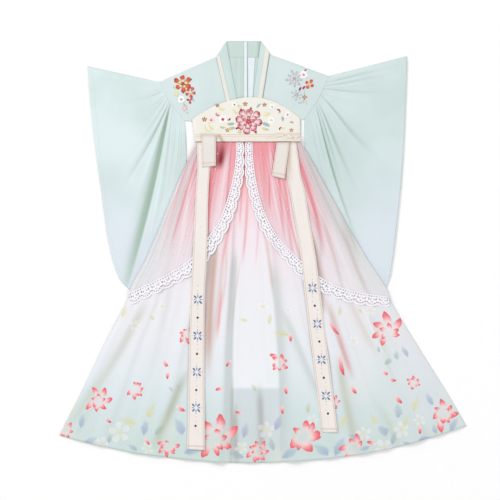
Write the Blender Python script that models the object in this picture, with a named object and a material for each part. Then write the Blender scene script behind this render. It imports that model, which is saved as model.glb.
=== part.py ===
"""Child's hanfu dress, laid flat with its front up.

The cloth pieces are thin walls that lie on each other, from the backs on the floor to the belt's
ties on top. X runs to the right as seen from above, Y towards the collar, Z up from the floor.
Tables are in millimetres. "down" is the distance below the collar's top edge, and "across" runs
over the skirt from its left side seam, 0, to its right one, 1.
"""
from math import cos, hypot, pi, sin
from typing import NamedTuple

import bpy

MM = 0.001

LENGTH = 1096.0          # collar's top edge to the lowest point of the hem
WAIST = 263.0            # down to the seam of the skirt, under the belt
CLOTH = 1.0              # wall of one piece of cloth
BAND = 1.6               # wall of the stiffened chest panel and the belt
RIBBON = 1.2             # wall of the ties, sewn double
SEAM = 0.3               # space between pieces that are sewn together
DRAPE = 0.5              # space between loose layers that lie on each other
BAND_SEAM_DOWN = 242.0   # down to the seam between the back of the blouse and the chest band

SLEEVE_LIFT = 2.9        # how far the tucked sleeve lifts the side of the skirt
SLEEVE_REACH = 0.15      # how far across the skirt the tucked sleeve reaches
LIFT_RUN = 0.17          # how far across the skirt takes to come down from it
LIFT_END = 680.0         # down to where the tucked sleeve ends
LIFT_FADE = 250.0        # length over which the skirt comes down below it


def clear_scene():
    for item in list(bpy.data.objects):
        bpy.data.objects.remove(item, do_unlink=True)


def smooth(t):
    t = min(max(t, 0.0), 1.0)
    return t * t * (3.0 - 2.0 * t)


def mix(a, b, t):
    return a + (b - a) * t


def read(table, key, column, at):
    """Value of a column at a place along the key column, on a smooth curve through the rows."""
    keys = [getattr(row, key) for row in table]
    values = [getattr(row, column) for row in table]
    last = len(table) - 2
    i = max(j for j in range(last + 1) if j == 0 or keys[j] <= at)
    span = keys[i + 1] - keys[i]
    t = (at - keys[i]) / span
    if t > 1.0 or t < 0.0:
        return mix(values[i], values[i + 1], t)

    def slope(j):
        a = max(j - 1, 0)
        b = min(j + 1, last + 1)
        return (values[b] - values[a]) / (keys[b] - keys[a]) * span

    t2 = t * t
    t3 = t2 * t
    return ((2 * t3 - 3 * t2 + 1) * values[i] + (t3 - 2 * t2 + t) * slope(i)
            + (3 * t2 - 2 * t3) * values[i + 1] + (t3 - t2) * slope(i + 1))


def material(name, colour, roughness, sheen=0.3):
    made = bpy.data.materials.new(name)
    made.use_nodes = True
    shader = made.node_tree.nodes["Principled BSDF"]
    shader.inputs["Base Color"].default_value = (*colour, 1.0)
    shader.inputs["Roughness"].default_value = roughness
    shader.inputs["Metallic"].default_value = 0.0
    shader.inputs["Sheen Weight"].default_value = sheen
    made.diffuse_color = (*colour, 1.0)
    return made


def world(x, down, height):
    return (x * MM, (LENGTH / 2 - down) * MM, height * MM)


def wall(name, under, columns, rows, thickness, finish, hole=None):
    """A sheet of cloth: under(u, v) gives the lower face as (x, down, height), the upper face lies
    thickness above it, and cells that hole(i, j) names are left open."""
    lower = [under(u, v) for v in rows for u in columns]
    count = len(lower)
    width = len(columns)
    points = [world(*p) for p in lower]
    points += [world(x, down, height + thickness) for x, down, height in lower]
    kept = {(i, j) for i in range(width - 1) for j in range(len(rows) - 1)
            if hole is None or not hole(i, j)}
    faces = []
    for i, j in sorted(kept):
        a = j * width + i
        b = a + 1
        c = b + width
        d = a + width
        faces.append((a, b, c, d))
        faces.append((d + count, c + count, b + count, a + count))
        for beside, p, q in (((i, j - 1), a, b), ((i + 1, j), b, c),
                             ((i, j + 1), c, d), ((i - 1, j), d, a)):
            if beside not in kept:
                faces.append((q, p, p + count, q + count))
    step_u = [lower[1][k] - lower[0][k] for k in (0, 1)]
    step_v = [lower[width][k] - lower[0][k] for k in (0, 1)]
    if step_u[0] * step_v[1] < step_u[1] * step_v[0]:
        faces = [face[::-1] for face in faces]
    used = sorted({p for face in faces for p in face})
    place = {p: n for n, p in enumerate(used)}
    mesh = bpy.data.meshes.new(name)
    mesh.from_pydata([points[p] for p in used], [], [[place[p] for p in face] for face in faces])
    mesh.materials.append(finish)
    mesh.update()
    made = bpy.data.objects.new(name, mesh)
    bpy.context.scene.collection.objects.link(made)
    return made


def steps(count):
    return [i / count for i in range(count + 1)]


# Blouse: two fronts over one back, with wide sleeves that are set in at the shoulders.

class Side(NamedTuple):
    """One step down a blouse front: its armhole or side edge, and its neck edge."""
    step: float
    side_x: float
    side_down: float
    neck_x: float
    neck_down: float


LEFT_FRONT = [
    Side(0.00, -268, 107, -121, 42),
    Side(0.16, -252, 143, -113, 75),
    Side(0.32, -239, 164, -108, 96),
    Side(0.48, -221, 187, -103, 120),
    Side(0.62, -204, 207, -99, 138),
    Side(0.70, -181, 209, -94, 156),
    Side(0.85, -179, 224, -89, 190),
    Side(1.00, -177, 242, -83, 242),
]
RIGHT_FRONT = [
    Side(0.00, 171, 92, 18, 35),
    Side(0.16, 154, 132, 12, 75),
    Side(0.32, 140, 157, 9, 96),
    Side(0.48, 122, 183, 5, 120),
    Side(0.62, 108, 203, 2, 138),
    Side(0.70, 98, 205, -2, 156),
    Side(0.85, 98, 224, -8, 190),
    Side(1.00, 98, 242, -18, 242),
]
BACK_NECK_DOWN = 0.0       # down to the middle of the back neckline
FRONT_LEVEL = CLOTH + SEAM
TRIM_LEVEL = FRONT_LEVEL + CLOTH + SEAM
BLOUSE_CROWN = 3.0         # how far the blouse puffs up between its seams


def side_point(table, step):
    """Place on the straight runs between the rows of a front's side edge."""
    i = max(j for j in range(len(table) - 1) if table[j].step <= step)
    near, far = table[i], table[i + 1]
    t = (step - near.step) / (far.step - near.step)
    return (mix(near.side_x, far.side_x, t), mix(near.side_down, far.side_down, t))


def build_fronts(finish):
    for name, table in (("front_left", LEFT_FRONT), ("front_right", RIGHT_FRONT)):
        def under(u, v, table=table):
            row = next(row for row in table if row.step == v)
            crown = BLOUSE_CROWN * sin(pi * min(u / 0.8, 1.0)) * sin(pi * min(v / 0.7, 1.0))
            return (mix(row.side_x, row.neck_x, u), mix(row.side_down, row.neck_down, u),
                    FRONT_LEVEL + max(crown, 0.0))

        wall(name, under, steps(8), [row.step for row in table], CLOTH, finish)


def build_blouse_back(finish):
    """One flat piece from side to side. Its top row follows the shoulders and the back neck."""
    left_reach = [(row.side_x, row.side_down) for row in LEFT_FRONT]
    right_reach = [(row.side_x, row.side_down) for row in RIGHT_FRONT]
    neck_left = (-121.0, 42.0)
    neck_right = (18.0, 35.0)
    top = [left_reach[0], (-195.0, 74.0), neck_left, (-95.0, BACK_NECK_DOWN), (-50.0, BACK_NECK_DOWN),
           (-5.0, BACK_NECK_DOWN), neck_right, (95.0, 63.0), right_reach[0]]

    def under(u, v):
        j = round(v * (len(left_reach) - 1))
        i = round(u * (len(top) - 1))
        spread = (top[i][0] - top[0][0]) / (top[-1][0] - top[0][0])
        x = mix(left_reach[j][0], right_reach[j][0], spread)
        level = mix(left_reach[j][1], right_reach[j][1], spread)
        return (x, mix(top[i][1], level, smooth(j / 2)), 0.0)

    wall("bodice_back", under, steps(len(top) - 1), steps(len(left_reach) - 1), CLOTH, finish)


class Band(NamedTuple):
    """One step along a narrow piece: its left edge and its right edge."""
    step: float
    left_x: float
    left_down: float
    right_x: float
    right_down: float


NECK_BANDS = {
    "neck_band_left": [Band(0, -117.0, 39.5, -95.0, 5.0), Band(1, -89.5, 157.0, -67.0, 155.0)],
    "neck_band_right": [Band(0, -5.0, 3.0, 12.5, 25.0), Band(1, -26.0, 155.0, -8.0, 156.0)],
}
NECK_STRIPS = {
    "neck_strip_left": [Band(0, -121.0, 42.0, -112.0, 36.0), Band(1, -95.0, 157.0, -84.0, 156.0)],
    "neck_strip_right": [Band(0, 7.0, 18.0, 17.0, 31.0), Band(1, -14.0, 156.0, -3.0, 157.0)],
}
BACK_TRIMS = {
    "back_zip_tape": [Band(0, -49.0, 45.0, -41.0, 45.0), Band(1, -49.0, 158.0, -41.0, 158.0)],
    "back_placket": [Band(0, -39.0, 45.0, -20.0, 45.0), Band(1, -39.0, 158.0, -31.0, 158.0)],
    "back_neck_band": [Band(0, -93.0, 5.0, -7.0, 5.0), Band(1, -85.5, 42.0, -12.0, 42.0)],
}


def build_band(name, table, level, thickness, finish, columns=2, rows=6):
    def under(u, v):
        x = mix(read(table, "step", "left_x", v), read(table, "step", "right_x", v), u)
        down = mix(read(table, "step", "left_down", v), read(table, "step", "right_down", v), u)
        return (x, down, level(x, down))

    return wall(name, under, steps(columns), steps(rows), thickness, finish)


class Sleeve(NamedTuple):
    """One fold line of a sleeve: its share round the armhole and where it reaches the cuff."""
    round_arm: float
    cuff_x: float
    cuff_down: float


LEFT_SLEEVE = [
    Sleeve(0.00, -456, 65),
    Sleeve(0.16, -440, 236),
    Sleeve(0.30, -420, 387),
    Sleeve(0.43, -402, 517),
    Sleeve(0.53, -377, 608),
    Sleeve(0.63, -351, 642),
    Sleeve(0.78, -322, 658),
    Sleeve(1.00, -290, 664),
]
RIGHT_SLEEVE = [
    Sleeve(0.00, 374, 40),
    Sleeve(0.18, 371, 142),
    Sleeve(0.30, 367, 236),
    Sleeve(0.40, 362, 322),
    Sleeve(0.47, 354, 413),
    Sleeve(0.55, 338, 556),
    Sleeve(0.64, 322, 640),
    Sleeve(0.78, 290, 660),
    Sleeve(1.00, 232, 664),
]
SLEEVE_BOW = 36.0          # how far the sleeve's inner seam swings towards the skirt
ARM_GAP = 0.5              # space at the armhole seam
UNDERARM_STEP = 0.62       # step of the blouse tables at which the armhole ends


class Gather(NamedTuple):
    """A fold that fans out from the armhole: its place, breadth, height and where it starts and ends."""
    round_arm: float
    breadth: float
    height: float
    start: float
    end: float


LEFT_GATHERS = [
    Gather(0.06, 0.05, 3.5, 0.00, 0.80),
    Gather(0.17, 0.05, 5.5, 0.00, 0.95),
    Gather(0.28, 0.05, 4.5, 0.02, 0.85),
    Gather(0.39, 0.05, 7.0, 0.00, 1.30),
    Gather(0.49, 0.04, 5.0, 0.00, 1.10),
    Gather(0.62, 0.05, 8.5, 0.00, 1.40),
    Gather(0.74, 0.05, 5.0, 0.02, 0.90),
    Gather(0.87, 0.06, 6.5, 0.00, 1.20),
]
RIGHT_GATHERS = [
    Gather(0.05, 0.04, 4.5, 0.00, 1.10),
    Gather(0.14, 0.04, 5.5, 0.00, 1.20),
    Gather(0.25, 0.05, 6.0, 0.00, 1.30),
    Gather(0.36, 0.04, 4.0, 0.00, 0.70),
    Gather(0.45, 0.05, 8.0, 0.00, 1.20),
    Gather(0.55, 0.04, 6.5, 0.00, 1.00),
    Gather(0.67, 0.05, 8.0, 0.00, 1.20),
    Gather(0.80, 0.05, 5.0, 0.02, 0.90),
    Gather(0.91, 0.05, 5.5, 0.00, 1.00),
]


def sleeve_place(table, front, outward, u, v):
    """Point of a sleeve, v of the way from the armhole to the cuff. outward is -1 or 1."""
    arm_x, arm_down = side_point(front, UNDERARM_STEP * u)
    x = mix(arm_x + outward * ARM_GAP, read(table, "round_arm", "cuff_x", u), v)
    down = mix(arm_down + ARM_GAP * u, read(table, "round_arm", "cuff_down", u), v)
    return (x - outward * SLEEVE_BOW * 4.0 * v * (1.0 - v) * u * u, down)


def sleeve_folds(folds, outward, u, v, x, down):
    """Height of the gathers, pressed flat where the skirt lies on the sleeve."""
    total = 0.0
    for fold in folds:
        reach = (u - fold.round_arm) / fold.breadth
        if abs(reach) < 1.0:
            rise = smooth((v - fold.start) / 0.12 + 0.35)
            fall = 1.0 - smooth((v - 0.45 * fold.end) / (0.55 * fold.end))
            total += fold.height * (1.0 + cos(pi * reach)) / 2 * rise * mix(0.25, 1.0, fall)
    past_side = outward * (x - skirt_x(0.0 if outward < 0 else 1.0, max(down, WAIST)))
    free = mix(1.0, smooth((past_side - 14.0) / 30.0), smooth((down - 190.0) / 50.0))
    hem = smooth(u / 0.04) * smooth((1.0 - u) / 0.05)
    return total * free * hem


def build_sleeves(finish):
    sides = (("left", LEFT_SLEEVE, LEFT_FRONT, LEFT_GATHERS, -1, 24),
             ("right", RIGHT_SLEEVE, RIGHT_FRONT, RIGHT_GATHERS, 1, 26))
    for side, table, blouse, folds, outward, count in sides:
        def back(u, v, table=table, blouse=blouse, outward=outward):
            return (*sleeve_place(table, blouse, outward, u, v), 0.0)

        def front(u, v, table=table, blouse=blouse, folds=folds, outward=outward):
            x, down = sleeve_place(table, blouse, outward, u, v)
            return (x, down, FRONT_LEVEL + sleeve_folds(folds, outward, u, v, x, down))

        wall("sleeve_back_" + side, back, steps(count // 2), steps(5), CLOTH, finish)
        wall("sleeve_front_" + side, front, steps(count), [v ** 1.15 for v in steps(10)], CLOTH, finish)


# Skirt: a back and a front that are sewn at the sides, with a lining between them.

class Edge(NamedTuple):
    """The skirt's side edges at one level."""
    down: float
    left: float
    right: float


SKIRT_EDGES = [
    Edge(263, -172, 97),
    Edge(300, -190, 120),
    Edge(407, -236, 179),
    Edge(565, -302, 270),
    Edge(644, -344, 321),
    Edge(677, -353, 332),
    Edge(783, -409, 396),
    Edge(921, -476, 483),
    Edge(1025, -529, 543),
    Edge(1096, -565, 585),
]


class Hem(NamedTuple):
    """Depth of the skirt's hem."""
    across: float
    down: float


HEM = [
    Hem(0.00, 1025),
    Hem(0.10, 1050),
    Hem(0.22, 1075),
    Hem(0.42, 1096),
    Hem(0.62, 1088),
    Hem(0.78, 1062),
    Hem(0.92, 1025),
    Hem(1.00, 1000),
]


class Fold(NamedTuple):
    """A fold of the skirt front: its place and half breadth across, its height at the hem, and the
    level where it starts."""
    across: float
    breadth: float
    height: float
    start: float


SKIRT_FOLDS = [
    Fold(0.050, 0.034, 5.0, 420),
    Fold(0.117, 0.034, 8.0, 300),
    Fold(0.183, 0.034, 6.0, 480),
    Fold(0.250, 0.034, 9.0, 280),
    Fold(0.317, 0.034, 7.0, 380),
    Fold(0.383, 0.034, 11.0, 270),
    Fold(0.450, 0.034, 3.0, 560),
    Fold(0.517, 0.034, 3.5, 640),
    Fold(0.583, 0.034, 10.0, 270),
    Fold(0.650, 0.034, 6.0, 420),
    Fold(0.717, 0.034, 9.0, 300),
    Fold(0.783, 0.034, 6.5, 360),
    Fold(0.850, 0.034, 8.5, 280),
    Fold(0.917, 0.034, 5.5, 460),
    Fold(0.967, 0.025, 4.0, 400),
]
FRONT_COLUMNS = 60
ROW_STEP = 80.0
ROW_LEVELS = [WAIST + ROW_STEP * i for i in range(10)]
LINING_INSET = 2 / FRONT_COLUMNS
LINING_SHARE = 0.765       # the lining's length as a share of the skirt's


def skirt_x(across, down):
    left = read(SKIRT_EDGES, "down", "left", down)
    right = read(SKIRT_EDGES, "down", "right", down)
    return mix(left, right, across)


def skirt_across(x, down):
    left = read(SKIRT_EDGES, "down", "left", down)
    right = read(SKIRT_EDGES, "down", "right", down)
    return (x - left) / (right - left)


def hem_down(across):
    return read(HEM, "across", "down", across)


def lining_down(across):
    return WAIST + (hem_down(across) - WAIST) * LINING_SHARE


def lift(across, down):
    """Height of the skirt's back over the sleeves that are tucked under its sides."""
    inward = min(across, 1.0 - across)
    return (SLEEVE_LIFT * (1.0 - smooth((inward - SLEEVE_REACH) / LIFT_RUN))
            * (1.0 - smooth((down - LIFT_END) / LIFT_FADE)))


def front_under(across, down):
    """Lower face of the skirt front, over the lining and up over its own folds."""
    over_lining = smooth(min(across, 1.0 - across) / LINING_INSET)
    over_lining *= 1.0 - smooth((down - lining_down(across) - 10.0) / 110.0)
    height = lift(across, down) + CLOTH + SEAM + (CLOTH + SEAM) * over_lining
    for fold in SKIRT_FOLDS:
        reach = (across - fold.across) / fold.breadth
        if abs(reach) < 1.0:
            grown = smooth((down - fold.start) / (hem_down(across) - fold.start))
            height += fold.height * (1.0 + cos(pi * reach)) / 2 * mix(0.12, 1.0, grown)
    return height


def front_on_grid(across, down):
    """The same face as the skirt front's own corners hold it, for the layers that lie on it."""
    column = min(max(across, 0.0), 0.9999) * FRONT_COLUMNS
    i = int(column)
    row = min(max((down - WAIST) / ROW_STEP, 0.0), len(ROW_LEVELS) - 1.001)
    j = int(row)
    level = [mix(front_under(i / FRONT_COLUMNS, ROW_LEVELS[k]),
                 front_under((i + 1) / FRONT_COLUMNS, ROW_LEVELS[k]), column - i) for k in (j, j + 1)]
    return mix(level[0], level[1], row - j)


def skirt_rows(levels, bottom):
    """Rows of a skirt layer as steps from 0 to 1, and the function that gives their levels."""
    count = len(levels)

    def level_at(across, v):
        j = round(v * count)
        return levels[j] if j < count else bottom(across)

    return steps(count), level_at


def build_skirt(chiffon, lining_cloth):
    rows, level_at = skirt_rows(ROW_LEVELS, hem_down)

    def back(u, v):
        down = level_at(u, v)
        return (skirt_x(u, down), down, lift(u, down))

    def front(u, v):
        down = level_at(u, v)
        return (skirt_x(u, down), down, front_under(u, down))

    wall("skirt_back", back, steps(FRONT_COLUMNS // 3), rows, CLOTH, chiffon)
    wall("skirt_front", front, steps(FRONT_COLUMNS), rows, CLOTH, chiffon)

    short_rows, short_level_at = skirt_rows(ROW_LEVELS[:-3], lining_down)

    def lining(u, v):
        across = mix(LINING_INSET, 1.0 - LINING_INSET, u)
        down = short_level_at(across, v)
        return (skirt_x(across, down), down, lift(across, down) + CLOTH + SEAM)

    wall("skirt_lining", lining, steps(28), short_rows, CLOTH, lining_cloth)


# Overskirt: gathered tulle, open at the centre front, with lace on its edge.

class Trim(NamedTuple):
    """One step along the lace: its straight upper edge and the line that its scallops touch."""
    step: float
    head_x: float
    head_down: float
    edge_x: float
    edge_down: float


LEFT_LACE = [
    Trim(0, -70, 264, -50, 264),
    Trim(1, -71, 309, -50, 322),
    Trim(2, -79, 361, -52, 361),
    Trim(3, -97, 425, -71, 441),
    Trim(4, -119, 476, -92, 491),
    Trim(5, -145, 513, -122, 543),
    Trim(6, -172, 549, -151, 580),
    Trim(7, -206, 580, -187, 611),
    Trim(8, -268, 616, -254, 646),
    Trim(9, -341, 653, -336, 684),
]
RIGHT_LACE = [
    Trim(0, -27, 264, -46, 264),
    Trim(1, -25, 309, -46, 322),
    Trim(2, -18, 361, -44, 371),
    Trim(3, -3, 424, -26, 437),
    Trim(4, 20, 478, -5, 491),
    Trim(5, 50, 522, 31, 540),
    Trim(6, 92, 565, 68, 585),
    Trim(7, 138, 606, 113, 630),
    Trim(8, 194, 637, 170, 661),
    Trim(9, 256, 654, 244, 685),
    Trim(10, 318, 664, 321, 690),
]


class Opening(NamedTuple):
    """Lower edge of the tulle."""
    across: float
    down: float


LEFT_TULLE_EDGE = [
    Opening(0.000, 667),
    Opening(0.090, 639),
    Opening(0.220, 590),
    Opening(0.300, 533),
    Opening(0.370, 461),
    Opening(0.417, 383),
    Opening(0.450, 330),
]
RIGHT_TULLE_EDGE = [
    Opening(0.467, 330),
    Opening(0.500, 410),
    Opening(0.560, 492),
    Opening(0.630, 555),
    Opening(0.717, 615),
    Opening(0.850, 664),
    Opening(1.000, 672),
]
TULLE_COLUMNS = 120        # over the whole width of the skirt, both halves together
TULLE_ROWS = 5
GATHER_HEIGHT = 3.4        # at the belt, fading towards the lace
GATHER_SHAPE = (0.0, 1.0, 0.45)
LACE_LEVEL = 0.8           # space between the tulle's highest points and the lace
LACE_REACH = 6.5           # width of cloth whose highest point carries a place of the lace


def gather(across, down):
    """Height of the tulle's gathers, which lie three columns apart and differ in height."""
    column = across * TULLE_COLUMNS
    i = int(column)

    def at(n):
        share = 0.68 + 0.32 * sin(2.4 * (n // 3))
        return GATHER_SHAPE[n % 3] * share

    fade = mix(1.0, 0.30, smooth((down - WAIST) / 340.0)) * mix(0.55, 1.0, smooth((down - WAIST) / 30.0))
    return GATHER_HEIGHT * fade * mix(at(i), at(i + 1), column - i)


def tulle_under(across, down):
    return front_on_grid(across, down) + CLOTH + DRAPE + gather(across, down)


def cloth_top(x, down):
    """Height of the topmost cloth of the skirt at a place."""
    across = min(max(skirt_across(x, down), 0.0), 1.0)
    table = LEFT_TULLE_EDGE if across < 0.458 else RIGHT_TULLE_EDGE
    if down < read(table, "across", "down", across) + 3.0:
        return tulle_under(across, down) + CLOTH
    return front_on_grid(across, down) + CLOTH


def resting(x, down, reach):
    """Height at which a piece that is stiffer than the gathers rests on them."""
    spots = [(x, down)]
    for i in range(8):
        for radius in (reach / 2, reach):
            spots.append((x + radius * cos(pi * i / 4), down + radius * sin(pi * i / 4)))
    return max(cloth_top(*spot) for spot in spots)


def build_tulle(finish):
    for name, table, first, last in (("overskirt_left", LEFT_TULLE_EDGE, 0, 54),
                                     ("overskirt_right", RIGHT_TULLE_EDGE, 56, TULLE_COLUMNS)):
        columns = [i / TULLE_COLUMNS for i in range(first, last + 1)]

        def under(u, v, table=table):
            down = mix(WAIST, read(table, "across", "down", u), v)
            return (skirt_x(u, down), down, tulle_under(u, down))

        wall(name, under, columns, steps(TULLE_ROWS), CLOTH, finish)


SCALLOP = 30.0             # length of one scallop of the lace
SCALLOP_DEPTH = 5.0
LACE_COLUMNS = (0.0, 0.2, 0.4, 0.6, 0.8)
SCALLOP_SHAPE = (0.0, 0.75, 1.0, 1.0, 0.75)
LACE_ROWS = (0.0, 0.22, 0.40, 0.60, 0.78, 1.0)


def lace_place(table, s, t):
    x = mix(read(table, "step", "head_x", s), read(table, "step", "edge_x", s), t)
    down = mix(read(table, "step", "head_down", s), read(table, "step", "edge_down", s), t)
    return x, down


def length_along(table, fine=400):
    """Pairs of length and step along the middle of the lace."""
    pairs = [(0.0, 0.0)]
    before = lace_place(table, 0.0, 0.5)
    for i in range(1, fine + 1):
        s = table[-1].step * i / fine
        here = lace_place(table, s, 0.5)
        pairs.append((pairs[-1][0] + hypot(here[0] - before[0], here[1] - before[1]), s))
        before = here
    return pairs


def build_lace(finish):
    """Lace strips with two holes in each scallop and one in each repeat of the upper row."""
    for name, table in (("lace_left", LEFT_LACE), ("lace_right", RIGHT_LACE)):
        pairs = length_along(table)
        total = pairs[-1][0]
        repeats = round(total / SCALLOP)
        wanted = [(n + part) * total / repeats for n in range(repeats) for part in LACE_COLUMNS]
        wanted.append(total)
        columns = [next(s for length, s in pairs if length >= place - 0.001) for place in wanted]
        bulge = {s: SCALLOP_SHAPE[i % len(LACE_COLUMNS)] for i, s in enumerate(columns)}

        def under(u, v, table=table, bulge=bulge):
            out = v - (1.0 - bulge[u]) * SCALLOP_DEPTH / 32.0 * smooth((v - 0.7) / 0.3)
            x, down = lace_place(table, u, out)
            return (x, down, resting(x, down, LACE_REACH) + LACE_LEVEL)

        def hole(i, j):
            spot = i % len(LACE_COLUMNS)
            return (j == 3 and spot in (1, 3)) or (j == 1 and spot == 2)

        wall(name, under, columns, LACE_ROWS, CLOTH, finish, hole)


# Chest band and belt.

class Arch(NamedTuple):
    """Upper edge of the chest panel."""
    across: float
    x: float
    down: float


PANEL_ARCH = [
    Arch(0.00, -184, 204),
    Arch(0.10, -160, 188),
    Arch(0.20, -130, 171),
    Arch(0.32, -96, 158),
    Arch(0.42, -66, 150),
    Arch(0.52, -30, 146),
    Arch(0.62, -1, 149),
    Arch(0.72, 29, 158),
    Arch(0.82, 59, 173),
    Arch(0.92, 89, 194),
    Arch(1.00, 97, 202),
]
PANEL_FOOT_LEFT = -177.0
PANEL_FOOT_RIGHT = 98.0
BELT_TOP = 243.0
BELT_FOOT = 262.0
KNOT_LEFT = 50.0
KNOT_RIGHT = 92.0


def panel_level(x, down):
    """The panel lies over the ends of the neck bands and comes down on the fronts below them."""
    return mix(TRIM_LEVEL + CLOTH + SEAM, TRIM_LEVEL, smooth((down - 158.0) / 50.0))


def build_chest(satin):
    def panel(u, v):
        top_x = read(PANEL_ARCH, "across", "x", u)
        top_down = read(PANEL_ARCH, "across", "down", u)
        x = mix(top_x, mix(PANEL_FOOT_LEFT, PANEL_FOOT_RIGHT, u), v)
        down = mix(top_down, BELT_FOOT, v)
        return (x, down, panel_level(x, down))

    columns = [row.across for row in PANEL_ARCH]
    wall("chest_panel", panel, columns, steps(4), BAND, satin)

    def back_band(u, v):
        return (mix(PANEL_FOOT_LEFT, PANEL_FOOT_RIGHT, u),
                mix(BAND_SEAM_DOWN + SEAM, WAIST - SEAM, v), 0.0)

    wall("back_band", back_band, steps(2), steps(1), CLOTH, satin)

    belt_level = TRIM_LEVEL + BAND + SEAM

    def belt(u, v):
        return (mix(PANEL_FOOT_LEFT + 0.5, PANEL_FOOT_RIGHT - 0.5, u), mix(BELT_TOP, BELT_FOOT, v),
                belt_level)

    wall("belt", belt, steps(4), steps(1), BAND, satin)

    def knot(u, v):
        swell = sin(pi * u) * sin(pi * v)
        return (mix(KNOT_LEFT, KNOT_RIGHT, u), mix(BELT_TOP - 2.0, BELT_FOOT - 1.0, v),
                belt_level + BAND + SEAM + 1.5 * swell)

    wall("belt_knot", knot, steps(6), steps(4), 3.0, satin)
    return belt_level


# Ties and ribbons, which lie on the skirt's highest folds.

LACE_HALF = 24.0           # half the lace's width, with room for the ribbon to come down beside it


def trimmed_top(x, down):
    """Height of the topmost cloth or lace at a place."""
    for table in (LEFT_LACE, RIGHT_LACE):
        for i in range(2 * table[-1].step + 1):
            middle = lace_place(table, i / 2, 0.5)
            if hypot(middle[0] - x, middle[1] - down) < LACE_HALF:
                return resting(x, down, LACE_REACH) + LACE_LEVEL + CLOTH
    return cloth_top(x, down)


class Tape(NamedTuple):
    """One level of a ribbon: its left and right edges."""
    down: float
    left: float
    right: float


LEFT_RIBBON = [
    Tape(264, -172, -138),
    Tape(329, -170, -138),
    Tape(387, -174, -141),
    Tape(556, -182, -145),
    Tape(673, -188, -151),
    Tape(1062, -197, -151),
]
RIGHT_RIBBON = [
    Tape(264, 70, 87),
    Tape(300, 69, 92),
    Tape(358, 67, 100),
    Tape(387, 69, 109),
    Tape(470, 83, 122),
    Tape(556, 98, 137),
    Tape(595, 102, 142),
    Tape(1017, 153, 195),
]
LEFT_TIE = [
    Tape(244, -164, -122),
    Tape(327, -164, -122),
]
RIGHT_TIE = [
    Tape(264, 36, 70),
    Tape(355, 23, 57),
]
RIBBON_STEP = 45.0


def tape_levels(table, step):
    count = max(round((table[-1].down - table[0].down) / step), 2)
    return [mix(table[0].down, table[-1].down, i / count) for i in range(count + 1)]


def highest_under(table, first, last, surface):
    """Highest point of a surface below a ribbon between two levels."""
    top = 0.0
    for i in range(7):
        down = mix(first, last, i / 6)
        left = read(table, "down", "left", down)
        right = read(table, "down", "right", down)
        for j in range(9):
            top = max(top, surface(mix(left - 2.0, right + 2.0, j / 8), down))
    return top


def lay_tape(name, table, step, surface, finish):
    """A ribbon across whose width the height is even, laid on the surface below it."""
    levels = tape_levels(table, step)
    heights = []
    for i, down in enumerate(levels):
        first = levels[max(i - 1, 0)]
        last = levels[min(i + 1, len(levels) - 1)]
        heights.append(highest_under(table, first, last, surface) + DRAPE)
    spots = dict(zip(levels, heights))

    def under(u, v):
        return (mix(read(table, "down", "left", v), read(table, "down", "right", v), u), v, spots[v])

    wall(name, under, steps(2), levels, RIBBON, finish)
    return spots


def build_ties(ribbon_finish, tie_finish, belt_level):
    left = lay_tape("ribbon_left", LEFT_RIBBON, RIBBON_STEP, trimmed_top, ribbon_finish)
    lay_tape("ribbon_right", RIGHT_RIBBON, RIBBON_STEP, trimmed_top, ribbon_finish)
    belt_top = belt_level + BAND

    def over_left_ribbon(x, down):
        if down < WAIST:
            return belt_top
        return max(height for level, height in left.items() if level < down + RIBBON_STEP) + RIBBON

    lay_tape("tie_short_left", LEFT_TIE, 9.0, over_left_ribbon, tie_finish)
    lay_tape("tie_short_right", RIGHT_TIE, 15.0, cloth_top, tie_finish)


def main():
    clear_scene()
    mint = material("mint_chiffon", (0.70, 0.83, 0.81), 0.75)
    printed = material("printed_chiffon", (0.90, 0.86, 0.88), 0.75)
    white = material("white_lining", (0.92, 0.93, 0.94), 0.80)
    pink = material("pink_tulle", (0.86, 0.45, 0.50), 0.80)
    lace = material("white_lace", (0.93, 0.92, 0.93), 0.85, 0.1)
    cream = material("cream_satin", (0.93, 0.88, 0.78), 0.60)
    build_blouse_back(mint)
    build_fronts(mint)
    for name, table in NECK_BANDS.items():
        build_band(name, table, lambda x, down: FRONT_LEVEL, CLOTH, mint)
    for name, table in NECK_STRIPS.items():
        build_band(name, table, lambda x, down: TRIM_LEVEL, CLOTH, cream)
    for name, table in BACK_TRIMS.items():
        build_band(name, table, lambda x, down: FRONT_LEVEL, CLOTH, mint if "neck" in name else white)
    build_sleeves(mint)
    build_skirt(printed, white)
    build_tulle(pink)
    build_lace(lace)
    belt_level = build_chest(cream)
    build_ties(cream, cream, belt_level)


main()
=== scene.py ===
import math

import bpy
import numpy as np
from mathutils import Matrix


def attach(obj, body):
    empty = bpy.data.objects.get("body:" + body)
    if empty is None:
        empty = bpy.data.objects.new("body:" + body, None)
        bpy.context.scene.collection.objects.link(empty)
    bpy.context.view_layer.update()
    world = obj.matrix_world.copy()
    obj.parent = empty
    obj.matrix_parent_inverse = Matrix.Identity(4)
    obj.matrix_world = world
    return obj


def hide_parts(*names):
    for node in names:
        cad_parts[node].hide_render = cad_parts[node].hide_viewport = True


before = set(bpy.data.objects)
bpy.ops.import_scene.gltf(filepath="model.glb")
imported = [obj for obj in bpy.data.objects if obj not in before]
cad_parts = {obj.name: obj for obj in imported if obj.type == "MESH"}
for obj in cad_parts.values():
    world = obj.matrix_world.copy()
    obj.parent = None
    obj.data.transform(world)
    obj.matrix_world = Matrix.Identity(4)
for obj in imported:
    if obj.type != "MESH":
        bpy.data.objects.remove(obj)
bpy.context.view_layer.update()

# Camera. The dress lies on a pale table, front up, and is seen square on from high above it. All
# the sizes below are in millimetres, x to the right and "down" from the collar's top edge.
MM = 0.001
LENGTH = 1096.0
PHOTO_WIDTH = 1300.0
PHOTO_CENTRE_X = -33.5
PHOTO_CENTRE_DOWN = 543.4
CAMERA_HEIGHT = 6.0
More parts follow.
